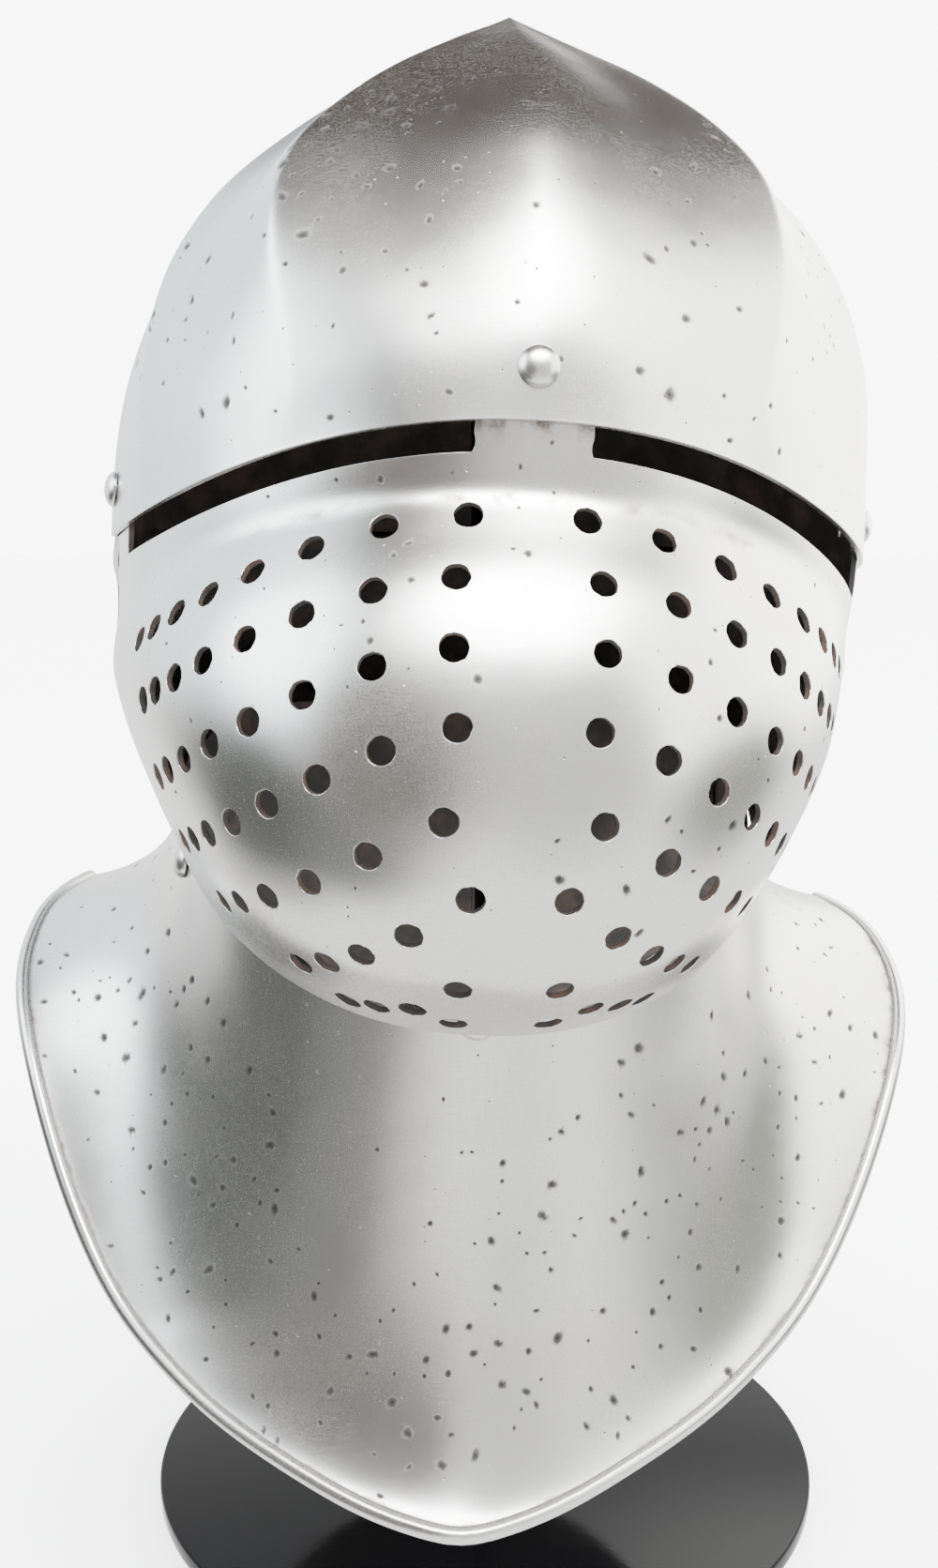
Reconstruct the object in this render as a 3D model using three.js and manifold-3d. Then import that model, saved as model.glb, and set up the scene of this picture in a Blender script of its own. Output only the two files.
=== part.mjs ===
// A great bascinet of bare steel on its display stand.
// Millimetres, +Z up. The origin is the centre of the stand's underside. The helmet looks along -Y.
import * as THREE from "three";
import { mergeVertices } from "three/addons/utils/BufferGeometryUtils.js";
import Module from "manifold-3d";

const wasm = await Module();
wasm.setup();

// Plates
const plate = 2.0;
const gap = 0.3;

// The skull: heights are above the stand's underside
const browFrontHeight = 378.5;
const browSideHeight = 338.5;
const apexHeight = 514;
const apexSetback = 10;
const templeSetback = 2;
const skullHalfWidth = 125;
const skullFrontReach = 129.8;
const skullBackReach = 127;
const napeHeight = 262;
const napeEase = 2.1;
const napeEdgeTurn = 6;
const ridgeCount = 12;
const ridgeSwing = 11;
const fluteDepth = 6.5;

// The face plate
const lowerFrontHeight = 208;
const lowerSideHeight = 258;
const bulgeReach = 162.5;
const bandHeight = 20;
const cheekBandExtra = 6;
const flangeHeight = 24;
const flangeEase = 0.8;
const browPower = 2;
const lowerPower = 1.3;
const bulgeLean = -4;
const facePlateEnd = 105;
const sightHeight = 8.2;
const sightExtraDrop = 5;
const sightInnerX = 14.5;
const sightOuterTurn = 70;
const sightRiseUnderBrow = 3;
const breathDiameter = 7.8;

// The gorget
const neckLap = 6;
const neckFrontReach = 118;
const neckTopBehind = 274;
const neckEase = 0.5;
const collarBelow = 1;
const collarShare = 0.1;
const gorgetHalfWidth = 152.5;
const gorgetFrontReach = 156;
const gorgetBackReach = 147;
const gorgetTipHeight = 73;
const shoulderHeight = 226;
const tipOffset = -7;
const rollDiameter = 5;
const frontPlateEnd = 105;
const backPlateStart = 97.5;
const backRollStart = 112.5;
const lapShare = 0.92;

// Rivets
const rivetHeadDiameter = 11.5;
const rivetHeadHeight = 3.4;
const rivetShankDiameter = 5;
const rivetPeenDiameter = 8;
const rivetPeenHeight = 1.2;
const rivetRise = 14;
const templeRivetTurn = 78;
const frontRivetTurn = -1;
const frontRivetPlace = 0.05;
const neckRivetTurn = 70;
const neckRivetPlace = 0.16;
const neckRivetLift = 0.5;

// The stand
const baseDiameter = 240;
const baseThickness = 6;
const baseEdge = 1;
const postDiameter = 10;
const postSeatDepth = 3;
const headSocketDepth = 10;
const headBlockDepth = 12;

// How the helmet sits on its stand
const helmetTurn = 4.5;
const helmetRoll = 2.8;
const rollPivotHeight = 330;
const helmetOffset = -0.5;

// Mesh steps
const turnStep = 7.5;
const faceStep = 10.5;
const breathSides = 6;
const rivetSides = 8;
const rollSides = 6;
const roundSides = 40;

const degree = Math.PI / 180;
const fullTurn = 360;

// Sections of the skull from the brow up: shares of its height, half width and reaches
const SKULL_SECTIONS = [
  { rise: 0.0, width: 1.0, front: 1.0, back: 1.0, square: 2.1, flute: 0 },
  { rise: 0.16, width: 1.0, front: 0.991, back: 1.005, square: 2.15, flute: 0.36 },
  { rise: 0.26, width: 0.984, front: 0.971, back: 1.0, square: 2.2, flute: 0.62 },
  { rise: 0.38, width: 0.936, front: 0.932, back: 0.968, square: 2.3, flute: 1 },
  { rise: 0.5, width: 0.856, front: 0.878, back: 0.905, square: 2.4, flute: 1.4 },
  { rise: 0.6, width: 0.752, front: 0.815, back: 0.827, square: 2.5, flute: 1.75 },
  { rise: 0.7, width: 0.6, front: 0.705, back: 0.7, square: 2.5, flute: 2 },
  { rise: 0.8, width: 0.416, front: 0.53, back: 0.52, square: 2.4, flute: 2.2 },
  { rise: 0.9, width: 0.208, front: 0.28, back: 0.276, square: 2.2, flute: 2.2 },
  { rise: 0.96, width: 0.084, front: 0.108, back: 0.11, square: 2.1, flute: 1.8 },
  { rise: 1.0, width: 0.0, front: 0.0, back: 0.0, square: 2.0, flute: 1.2 },
];
const skullRises = [0, 0.12, 0.26, 0.4, 0.53, 0.65, 0.76, 0.86, 0.94, 1];
const napeShares = [0.15, 0.4, 0.7, 1];
const apexWall = 1.4 * plate;

// Sections of the face plate from the brow edge down. Reach is a share of the bulge's reach, width of
// the half width at the brow, and back of the skull's reach behind.
const FACE_SECTIONS = [
  { drop: 0.0, reach: 0.785, width: 1.0, back: 0.985, square: 2.1 },
  { drop: 0.06, reach: 0.785, width: 0.997, back: 0.984, square: 2.12 },
  { drop: 0.115, reach: 0.788, width: 0.991, back: 0.983, square: 2.15 },
  { drop: 0.15, reach: 0.812, width: 0.989, back: 0.98, square: 2.2 },
  { drop: 0.245, reach: 0.886, width: 0.982, back: 0.97, square: 2.3 },
  { drop: 0.347, reach: 0.945, width: 0.97, back: 0.95, square: 2.35 },
  { drop: 0.465, reach: 0.985, width: 0.949, back: 0.925, square: 2.38 },
  { drop: 0.606, reach: 1.0, width: 0.917, back: 0.895, square: 2.35 },
  { drop: 0.727, reach: 0.985, width: 0.884, back: 0.866, square: 2.3 },
  { drop: 0.82, reach: 0.948, width: 0.86, back: 0.846, square: 2.25 },
  { drop: 0.89, reach: 0.902, width: 0.84, back: 0.833, square: 2.2 },
  { drop: 0.95, reach: 0.837, width: 0.827, back: 0.823, square: 2.2 },
  { drop: 1.0, reach: 0.763, width: 0.815, back: 0.82, square: 2.2 },
];

// Rows of breaths, each side of the middle: place down the plate, how the row falls towards the
// cheek, and the arc in mm from the middle to the first breath, between breaths and lost per breath
const BREATH_ROWS = [
  { drop: 0.145, fall: 0.105, bow: 1.5, first: 16, pitch: 23, taper: 0.95, count: 8 },
  { drop: 0.238, fall: 0.17, bow: 1.5, first: 19.5, pitch: 22.3, taper: 0.95, count: 8 },
  { drop: 0.34, fall: 0.255, bow: 1.4, first: 20, pitch: 21.8, taper: 0.85, count: 8 },
  { drop: 0.456, fall: 0.32, bow: 1.3, first: 18.5, pitch: 20.5, taper: 0.8, count: 8 },
  { drop: 0.598, fall: 0.365, bow: 1.1, first: 21, pitch: 21.5, taper: 1.1, count: 6 },
  { drop: 0.717, fall: 0.365, bow: 0.9, first: 13, pitch: 17.6, taper: 1.15, count: 5 },
  { drop: 0.884, fall: 0.125, bow: 0.35, first: 14, pitch: 12.5, taper: 0.7, count: 4 },
  { drop: 0.968, fall: 0.0, bow: 1.0, first: 13.5, pitch: 20, taper: 0, count: 1 },
];
const breathRowLean = 0.75;
const faceRows = [-1, 0, 0.115, 0.17, 0.27, 0.39, 0.54, 0.69, 0.82, 0.91, 1];

// The gorget's rim from the tip round to the middle of the back: shares of the half width, of the
// front or back reach, and of the drop from the shoulder to the tip
const RIM_SECTIONS = [
  { turn: 0, width: 0.0, reach: 1.0, drop: 1.0 },
  { turn: 8, width: 0.137, reach: 0.955, drop: 0.984 },
  { turn: 20, width: 0.323, reach: 0.867, drop: 0.935 },
  { turn: 37, width: 0.557, reach: 0.722, drop: 0.84 },
  { turn: 53, width: 0.751, reach: 0.554, drop: 0.686 },
  { turn: 62, width: 0.851, reach: 0.442, drop: 0.529 },
  { turn: 71, width: 0.936, reach: 0.315, drop: 0.345 },
  { turn: 80, width: 0.985, reach: 0.17, drop: 0.22 },
  { turn: 90, width: 0.977, reach: 0.0, drop: 0.125 },
  { turn: 102, width: 0.917, reach: -0.202, drop: 0.085 },
  { turn: 120, width: 0.8, reach: -0.48, drop: 0.13 },
  { turn: 150, width: 0.469, reach: -0.842, drop: 0.47 },
  { turn: 180, width: 0.0, reach: -1.0, drop: 0.68 },
];
const rimGrowth = 2.0;
const rimFall = 1.35;
const gorgetRows = [0, collarShare, 0.22, 0.38, 0.54, 0.7, 0.85, 1];

function smoothstep(from, to, value) {
  const t = Math.min(1, Math.max(0, (value - from) / (to - from)));
  return t * t * (3 - 2 * t);
}

// A smooth curve through one column of a table, by cubic Hermite pieces
function through(table, key, column, at) {
  const last = table.length - 1;
  const x = Math.min(table[last][key], Math.max(table[0][key], at));
  let i = 0;
  while (i < last - 1 && x > table[i + 1][key]) i += 1;
  const slope = (k) => (table[k + 1][column] - table[k][column]) / (table[k + 1][key] - table[k][key]);
  const step = (k) => table[k + 1][key] - table[k][key];
  const tangent = (k) => {
    if (k === 0) return slope(0);
    if (k === last) return slope(last - 1);
    return (slope(k - 1) * step(k) + slope(k) * step(k - 1)) / (step(k) + step(k - 1));
  };
  const h = step(i);
  const t = (x - table[i][key]) / h;
  const t2 = t * t;
  const t3 = t2 * t;
  return (2 * t3 - 3 * t2 + 1) * table[i][column] + (t3 - 2 * t2 + t) * h * tangent(i)
    + (3 * t2 - 2 * t3) * table[i + 1][column] + (t3 - t2) * h * tangent(i + 1);
}

function power(value, exponent) {
  return Math.sign(value) * Math.abs(value) ** exponent;
}

// The brow edge and the face plate's lower edge, as heights round the head
function browHeight(turn) {
  const front = Math.max(0, Math.cos(turn));
  return browSideHeight + (browFrontHeight - browSideHeight) * front ** browPower;
}

function lowerHeight(turn) {
  const front = Math.max(0, Math.cos(turn));
  return lowerSideHeight + (lowerFrontHeight - lowerSideHeight) * front ** lowerPower;
}

// A point of the skull's outside above the brow, inset by a distance
function skullUpper(turn, rise, inset = 0) {
  const swing = ridgeSwing * degree * Math.sin(2 * turn) * smoothstep(0.1, 0.65, rise);
  const side = Math.sin(turn + swing);
  const front = Math.cos(turn + swing);
  const square = through(SKULL_SECTIONS, "rise", "square", rise);
  const halfWidth = through(SKULL_SECTIONS, "rise", "width", rise) * skullHalfWidth - inset;
  const reach = front >= 0
    ? through(SKULL_SECTIONS, "rise", "front", rise) * skullFrontReach
    : through(SKULL_SECTIONS, "rise", "back", rise) * skullBackReach;
  const depth = through(SKULL_SECTIONS, "rise", "flute", rise);
  const flute = depth * Math.abs(Math.sin(ridgeCount * turn / 2));
  const hollow = 1 - fluteDepth / skullFrontReach * flute;
  const middle = templeSetback + apexSetback * rise;
  const brow = browHeight(turn);
  return new THREE.Vector3(
    halfWidth * power(side, 2 / square) * hollow,
    middle - (reach - inset + templeSetback * (1 - rise)) * power(front, 2 / square) * hollow,
    brow + (apexHeight - brow) * rise,
  );
}

// The head's form below the brow, which the face plate and the skull's lower part share
function headForm(turn, drop, outset = 0) {
  const side = Math.sin(turn);
  const front = Math.cos(turn);
  const square = through(FACE_SECTIONS, "drop", "square", drop);
  const browHalfWidth = skullHalfWidth - plate - gap;
  const halfWidth = through(FACE_SECTIONS, "drop", "width", drop) * browHalfWidth + outset;
  const reach = front >= 0
    ? through(FACE_SECTIONS, "drop", "reach", drop) * bulgeReach + templeSetback
    : through(FACE_SECTIONS, "drop", "back", drop) * skullBackReach - templeSetback;
  const fullDepth = browFrontHeight - lowerFrontHeight;
  const depth = drop * fullDepth;
  const band = bandHeight + cheekBandExtra * smoothstep(50 * degree, 85 * degree, Math.abs(turn));
  const total = browHeight(turn) - lowerHeight(turn);
  const below = depth < bandHeight
    ? depth * band / bandHeight
    : band + (depth - bandHeight) * (total - band) / (fullDepth - bandHeight);
  return new THREE.Vector3(
    halfWidth * power(side, 2 / square) + bulgeLean * smoothstep(0, 0.4, drop),
    templeSetback - (reach + outset) * power(front, 2 / square),
    browHeight(turn) - below,
  );
}

// A point of the face plate: a flange under the skull above the brow, then the visible plate
function facePoint(turn, down) {
  if (down >= 0) return headForm(turn, down);
  const brow = browHeight(turn);
  const rise = -down * flangeHeight / (apexHeight - brow);
  return skullUpper(turn, rise, plate + gap - down * flangeEase);
}

// A point of the gorget, from the neck (0) to the rim (1)
function gorgetPoint(turn, out) {
  const size = Math.abs(turn) / degree;
  const side = Math.sin(turn);
  const front = Math.cos(turn);
  const lowest = FACE_SECTIONS[FACE_SECTIONS.length - 1];
  const neckHalfWidth = lowest.width * (skullHalfWidth - plate - gap) - plate - gap - neckEase;
  const napeBack = lowest.back * skullBackReach + napeEase + plate + gap;
  const neckReach = front >= 0 ? neckFrontReach : napeBack;
  const reach = front >= 0 ? gorgetFrontReach : gorgetBackReach;
  const rising = smoothstep(90, 120, size);
  const neckTop = lowerHeight(turn) + neckLap + (neckTopBehind - lowerSideHeight - neckLap) * rising;
  const neck = new THREE.Vector3(
    neckHalfWidth * power(side, 2 / lowest.square),
    templeSetback - (neckReach + Math.sign(front) * templeSetback) * power(front, 2 / lowest.square),
    neckTop,
  );
  const rim = new THREE.Vector3(
    Math.sign(turn) * through(RIM_SECTIONS, "turn", "width", size) * gorgetHalfWidth
      + tipOffset * Math.max(0, front) ** 2,
    -through(RIM_SECTIONS, "turn", "reach", size) * reach,
    shoulderHeight + (gorgetTipHeight - shoulderHeight) * through(RIM_SECTIONS, "turn", "drop", size),
  );
  // The neck is a plain collar down to just below the plates around it, and flares from there
  const collarFoot = lowerHeight(turn) - collarBelow;
  if (out < collarShare) {
    const share = out / collarShare;
    return new THREE.Vector3(neck.x + bulgeLean, neck.y, neckTop + (collarFoot - neckTop) * share);
  }
  const flare = Math.min(1, (out - collarShare) / (1 - collarShare));
  const growth = flare ** rimGrowth;
  const fall = 1 - (1 - flare) ** rimFall;
  return new THREE.Vector3(
    neck.x + (rim.x - neck.x) * growth + bulgeLean * (1 - growth),
    neck.y + (rim.y - neck.y) * growth,
    collarFoot + (rim.z - collarFoot) * fall,
  );
}

// The direction square to a surface at a point, away from the head's middle
function outward(surface, turn, down, least, most) {
  const reachTurn = 0.6 * degree;
  const reachDown = 0.004;
  const low = Math.max(least, down - reachDown);
  const high = Math.min(most, down + reachDown);
  const across = surface(turn + reachTurn, down).sub(surface(turn - reachTurn, down));
  const along = surface(turn, high).sub(surface(turn, low));
  const normal = across.cross(along).normalize();
  const place = surface(turn, down);
  const away = new THREE.Vector3(place.x, place.y, 0);
  if (normal.dot(away) < 0) normal.negate();
  return normal;
}

// A closed shell between two grids of points. Points that fall together are merged.
function shell(outer, inner, closed) {
  const columns = outer.length;
  const rows = outer[0].length;
  const positions = [];
  const at = (grid, i, j) => grid[i % columns][j];
  const triangle = (a, b, c) => positions.push(a.x, a.y, a.z, b.x, b.y, b.z, c.x, c.y, c.z);
  const quad = (a, b, c, d) => {
    triangle(a, b, c);
    triangle(a, c, d);
  };
  const spans = closed ? columns : columns - 1;
  for (let i = 0; i < spans; i += 1) {
    for (let j = 0; j < rows - 1; j += 1) {
      quad(at(outer, i, j), at(outer, i + 1, j), at(outer, i + 1, j + 1), at(outer, i, j + 1));
      quad(at(inner, i, j + 1), at(inner, i + 1, j + 1), at(inner, i + 1, j), at(inner, i, j));
    }
    quad(at(inner, i, 0), at(inner, i + 1, 0), at(outer, i + 1, 0), at(outer, i, 0));
    const top = rows - 1;
    quad(at(outer, i, top), at(outer, i + 1, top), at(inner, i + 1, top), at(inner, i, top));
  }
  if (!closed) {
    const end = columns - 1;
    for (let j = 0; j < rows - 1; j += 1) {
      quad(outer[0][j], outer[0][j + 1], inner[0][j + 1], inner[0][j]);
      quad(inner[end][j], inner[end][j + 1], outer[end][j + 1], outer[end][j]);
    }
  }
  const geometry = new THREE.BufferGeometry();
  geometry.setAttribute("position", new THREE.Float32BufferAttribute(positions, 3));
  return tidy(geometry);
}

// Merges shared vertices, drops triangles with no area and turns the faces out
function tidy(source) {
  const bare = source.clone();
  bare.deleteAttribute("normal");
  bare.deleteAttribute("uv");
  const merged = mergeVertices(bare, 1e-4);
  const place = merged.getAttribute("position");
  const order = merged.getIndex();
  const kept = [];
  let volume = 0;
  const corner = [new THREE.Vector3(), new THREE.Vector3(), new THREE.Vector3()];
  for (let t = 0; t < order.count; t += 3) {
    const index = [order.getX(t), order.getX(t + 1), order.getX(t + 2)];
    if (index[0] === index[1] || index[1] === index[2] || index[2] === index[0]) continue;
    index.forEach((vertex, k) => corner[k].fromBufferAttribute(place, vertex));
    volume += corner[0].dot(corner[1].clone().cross(corner[2]));
    kept.push(...index);
  }
  if (volume < 0) {
    for (let t = 0; t < kept.length; t += 3) [kept[t], kept[t + 1]] = [kept[t + 1], kept[t]];
  }
  merged.setIndex(kept);
  return merged;
}

function toSolid(geometry) {
  const clean = tidy(geometry);
  const place = clean.getAttribute("position");
  const used = new Map();
  const vertices = [];
  const triangles = [];
  for (const index of clean.getIndex().array) {
    if (!used.has(index)) {
      used.set(index, used.size);
      vertices.push(place.getX(index), place.getY(index), place.getZ(index));
    }
    triangles.push(used.get(index));
  }
  return new wasm.Manifold(new wasm.Mesh({
    numProp: 3,
    vertProperties: new Float32Array(vertices),
    triVerts: new Uint32Array(triangles),
  }));
}

function fromSolid(solid) {
  const mesh = solid.getMesh();
  const geometry = new THREE.BufferGeometry();
  geometry.setAttribute("position", new THREE.Float32BufferAttribute(mesh.vertProperties, 3));
  geometry.setIndex(Array.from(mesh.triVerts));
  return geometry;
}

// A plate over a surface, sunk by a depth: a grid of its outside, and the same points a thickness in
function plateShell(surface, turns, downs, depth = 0) {
  const outer = [];
  const inner = [];
  for (const turn of turns) {
    const places = downs(turn).map((down) => ({
      place: surface(turn, down),
      normal: outward(surface, turn, down, 0, 1),
    }));
    outer.push(places.map(({ place, normal }) => place.clone().addScaledVector(normal, -depth)));
    inner.push(places.map(({ place, normal }) => place.clone().addScaledVector(normal, -depth - plate)));
  }
  return shell(outer, inner, false);
}

function turnsBetween(from, to, step) {
  const count = Math.round((to - from) / step);
  return Array.from({ length: count + 1 }, (_, i) => (from + (to - from) * i / count) * degree);
}

// Stands a lathed or cylinder shape, made along +Y, on a place with its axis along a direction
function along(geometry, place, direction) {
  const up = new THREE.Vector3(0, 1, 0);
  const turned = new THREE.Quaternion().setFromUnitVectors(up, direction);
  return geometry.clone().applyQuaternion(turned).translate(place.x, place.y, place.z);
}

// Where the rivets sit
function rivetSeats() {
  const skullSeat = (turn) => {
    const brow = browHeight(turn);
    const rise = rivetRise / (apexHeight - brow);
    return {
      place: skullUpper(turn, rise),
      normal: outward(skullUpper, turn, rise, 0, 1),
      grip: 2 * plate + 4 * gap + flangeEase,
      lift: gap,
    };
  };
  const neckSeat = (turn, out) => ({
    place: gorgetPoint(turn, out),
    normal: outward(gorgetPoint, turn, out, 0, 1),
    grip: plate,
    lift: gap + neckRivetLift,
  });
  return {
    brow_rivet: skullSeat(0),
    temple_rivet_left: skullSeat(-templeRivetTurn * degree),
    temple_rivet_right: skullSeat(templeRivetTurn * degree),
    neck_rivet_front: neckSeat(frontRivetTurn * degree, frontRivetPlace),
    neck_rivet_left: neckSeat(-neckRivetTurn * degree, neckRivetPlace),
    neck_rivet_right: neckSeat(neckRivetTurn * degree, neckRivetPlace),
  };
}
const seats = rivetSeats();

function rivetHole(seat) {
  const reach = 4 * plate + 2 * gap;
  const bore = new THREE.CylinderGeometry(
    rivetShankDiameter / 2 + gap, rivetShankDiameter / 2 + gap, 2 * reach, rivetSides,
  );
  return toSolid(along(bore, seat.place, seat.normal));
}

// A point of the skull behind the temples, from the brow's level (0) down to the nape's edge (1)
function napePoint(turn, share) {
  const depth = share * (browSideHeight - napeHeight);
  const size = Math.abs(turn);
  const swing = napeEdgeTurn * degree * smoothstep(0, 0.25, share) * (Math.PI - size) / (Math.PI / 2);
  const band = bandHeight + cheekBandExtra;
  const fullDepth = browFrontHeight - lowerFrontHeight;
  const sideDepth = browSideHeight - lowerSideHeight;
  const down = depth < band
    ? depth * bandHeight / band
    : bandHeight + (depth - band) * (fullDepth - bandHeight) / (sideDepth - band);
  const outset = plate + gap + napeEase * smoothstep(0, 0.15, share);
  return headForm(Math.sign(turn) * (size + swing), down / fullDepth, outset);
}

// Skull: the bowl above the brow and the plate down to the nape, in one
function buildSkull() {
  const bowl = { outer: [], inner: [] };
  for (const turn of turnsBetween(-180, 180, turnStep).slice(0, -1)) {
    const outer = skullRises.map((rise) => skullUpper(turn, rise));
    const inner = outer.map((place, k) => {
      if (skullRises[k] === 1) return new THREE.Vector3(place.x, place.y, place.z - apexWall);
      return place.clone().addScaledVector(outward(skullUpper, turn, skullRises[k], 0, 1), -plate);
    });
    bowl.outer.push(outer);
    bowl.inner.push(inner);
  }
  const nape = { outer: [], inner: [] };
  for (const angle of turnsBetween(90, 270, turnStep)) {
    const turn = angle > Math.PI ? angle - 2 * Math.PI : angle;
    const seam = skullUpper(turn, 0);
    const outer = [seam, ...napeShares.map((share) => napePoint(turn, share))];
    const inner = outer.map((place, k) => {
      const normal = k === 0
        ? outward(skullUpper, turn, 0, 0, 1)
        : outward(napePoint, turn, napeShares[k - 1], 0, 1);
      return place.clone().addScaledVector(normal, -plate);
    });
    nape.outer.push(outer);
    nape.inner.push(inner);
  }
  let solid = toSolid(shell(bowl.outer, bowl.inner, true));
  solid = solid.add(toSolid(shell(nape.outer, nape.inner, false)));
  for (const name of ["brow_rivet", "temple_rivet_left", "temple_rivet_right"]) {
    solid = solid.subtract(rivetHole(seats[name]));
  }
  return fromSolid(solid);
}

// The arc along a row of the face plate from the middle out, as a list of lengths
function arcTurns(drop) {
  const list = [{ turn: 0, length: 0 }];
  let last = headForm(0, drop);
  for (let step = 1; step <= facePlateEnd; step += 1) {
    const place = headForm(step * degree, drop);
    list.push({ turn: step * degree, length: list[step - 1].length + place.distanceTo(last) });
    last = place;
  }
  return list;
}

function turnAtArc(list, length) {
  let i = 1;
  while (i < list.length - 1 && list[i].length < length) i += 1;
  const share = (length - list[i - 1].length) / (list[i].length - list[i - 1].length);
  return list[i - 1].turn + share * (list[i].turn - list[i - 1].turn);
}

// A cutter for each breath: a prism along the plate's normal
function breathCutters() {
  const cutters = [];
  const radius = breathDiameter / 2;
  for (const row of BREATH_ROWS) {
    const list = arcTurns(row.drop);
    const shift = -breathRowLean * bulgeLean * smoothstep(0.1, 0.35, row.drop);
    for (let k = 0; k < row.count; k += 1) {
      const arc = row.first + k * row.pitch - k * k * row.taper;
      const drop = row.drop + row.fall * ((arc - row.first) / 100) ** row.bow;
      for (const side of [-1, 1]) {
        const turn = side * turnAtArc(list, arc + side * shift);
        const place = headForm(turn, drop);
        const normal = outward(headForm, turn, drop, 0, 1);
        const prism = new THREE.CylinderGeometry(radius, radius, 6 * plate, breathSides);
        cutters.push(toSolid(along(prism, place, normal)));
      }
    }
  }
  return cutters;
}

// A cutter for one sight: a bar that follows the brow edge from beside the nose to the temple
function sightCutter(side) {
  const steps = 10;
  const inTurn = Math.asin(sightInnerX / (skullHalfWidth - plate - gap));
  const outTurn = sightOuterTurn * degree;
  const near = [];
  const far = [];
  for (let i = 0; i <= steps; i += 1) {
    const share = i / steps;
    const turn = side * (inTurn + (outTurn - inTurn) * share);
    const deeper = side > 0 ? sightExtraDrop * share ** 2 : 0;
    const place = headForm(turn, 0.02);
    const away = outward(headForm, turn, 0.02, 0, 1).setZ(0).normalize();
    const top = browHeight(turn) + sightRiseUnderBrow;
    const bottom = browHeight(turn) - sightHeight - deeper;
    const column = (reach) => [top, bottom].map(
      (height) => new THREE.Vector3(place.x + away.x * reach, place.y + away.y * reach, height),
    );
    near.push(column(3 * plate));
    far.push(column(-3 * plate));
  }
  return toSolid(shell(near, far, false));
}

function buildFacePlate() {
  const turns = turnsBetween(-facePlateEnd, facePlateEnd, faceStep);
  const outer = [];
  const inner = [];
  for (const turn of turns) {
    const outerColumn = [];
    const innerColumn = [];
    for (const down of faceRows) {
      const place = facePoint(turn, down);
      const least = down < 0 ? -1 : 0;
      const most = down < 0 ? -0.001 : 1;
      const normal = outward(facePoint, turn, down, least, most);
      outerColumn.push(place);
      innerColumn.push(place.clone().addScaledVector(normal, -plate));
    }
    outer.push(outerColumn);
    inner.push(innerColumn);
  }
  let solid = toSolid(shell(outer, inner, false));
  const cutters = [sightCutter(-1), sightCutter(1), ...breathCutters()];
  for (const name of ["brow_rivet", "temple_rivet_left", "temple_rivet_right"]) {
    cutters.push(rivetHole(seats[name]));
  }
  for (const cutter of cutters) solid = solid.subtract(cutter);
  return fromSolid(solid);
}

// A rolled edge: a round bar along the rim of one of the gorget's plates
function rollSolid(surface, from, to, depth = 0) {
  const points = turnsBetween(from, to, turnStep).map((turn) => {
    const normal = outward(surface, turn, 1, 0, 1);
    return surface(turn, 1).addScaledVector(normal, -depth - plate / 2);
  });
  const section = new THREE.Shape();
  section.absarc(0, 0, rollDiameter / 2, 0, 2 * Math.PI, false);
  return toSolid(new THREE.ExtrudeGeometry(section, {
    steps: points.length - 1,
    curveSegments: rollSides / 2,
    bevelEnabled: false,
    extrudePath: new THREE.CatmullRomCurve3(points),
  }));
}

function buildGorgetFront() {
  const turns = turnsBetween(-frontPlateEnd, frontPlateEnd, turnStep);
  let solid = toSolid(plateShell(gorgetPoint, turns, () => gorgetRows));
  solid = solid.add(rollSolid(gorgetPoint, -frontPlateEnd, frontPlateEnd));
  for (const name of ["neck_rivet_front", "neck_rivet_left", "neck_rivet_right"]) {
    solid = solid.subtract(rivetHole(seats[name]));
  }
  return fromSolid(solid);
}

// The back plate lies under the front plate where they lap, short of the front plate's roll
function buildGorgetBack() {
  const depth = plate + 1.6 * gap;
  const surface = (turn, out) => gorgetPoint(turn > Math.PI ? turn - 2 * Math.PI : turn, out);
  const turns = turnsBetween(backPlateStart, fullTurn - backPlateStart, turnStep);
  const downs = (turn) => {
    const size = turn > Math.PI ? fullTurn - turn / degree : turn / degree;
    const reach = size < frontPlateEnd + turnStep / 2 ? lapShare : 1;
    return gorgetRows.map((out) => out * reach);
  };
  const sheet = toSolid(plateShell(surface, turns, downs, depth));
  const roll = rollSolid(surface, backRollStart, fullTurn - backRollStart, depth);
  return fromSolid(sheet.add(roll));
}

// A rivet: a domed head outside, a shank through the plates and a flat peened end inside
function buildRivet(seat) {
  const head = rivetHeadDiameter / 2;
  const shank = rivetShankDiameter / 2;
  const peen = rivetPeenDiameter / 2;
  const inside = -seat.grip - gap;
  const profile = [new THREE.Vector2(0, inside - rivetPeenHeight)];
  profile.push(new THREE.Vector2(peen, inside - rivetPeenHeight));
  profile.push(new THREE.Vector2(peen, inside));
  profile.push(new THREE.Vector2(shank, inside));
  profile.push(new THREE.Vector2(shank, seat.lift));
  for (let k = 0; k <= 3; k += 1) {
    const angle = k * 22.5 * degree;
    profile.push(new THREE.Vector2(head * Math.cos(angle), seat.lift + rivetHeadHeight * Math.sin(angle)));
  }
  profile.push(new THREE.Vector2(0, seat.lift + rivetHeadHeight));
  const lathe = new THREE.LatheGeometry(profile, rivetSides);
  return tidy(along(lathe, seat.place, seat.normal));
}

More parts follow.
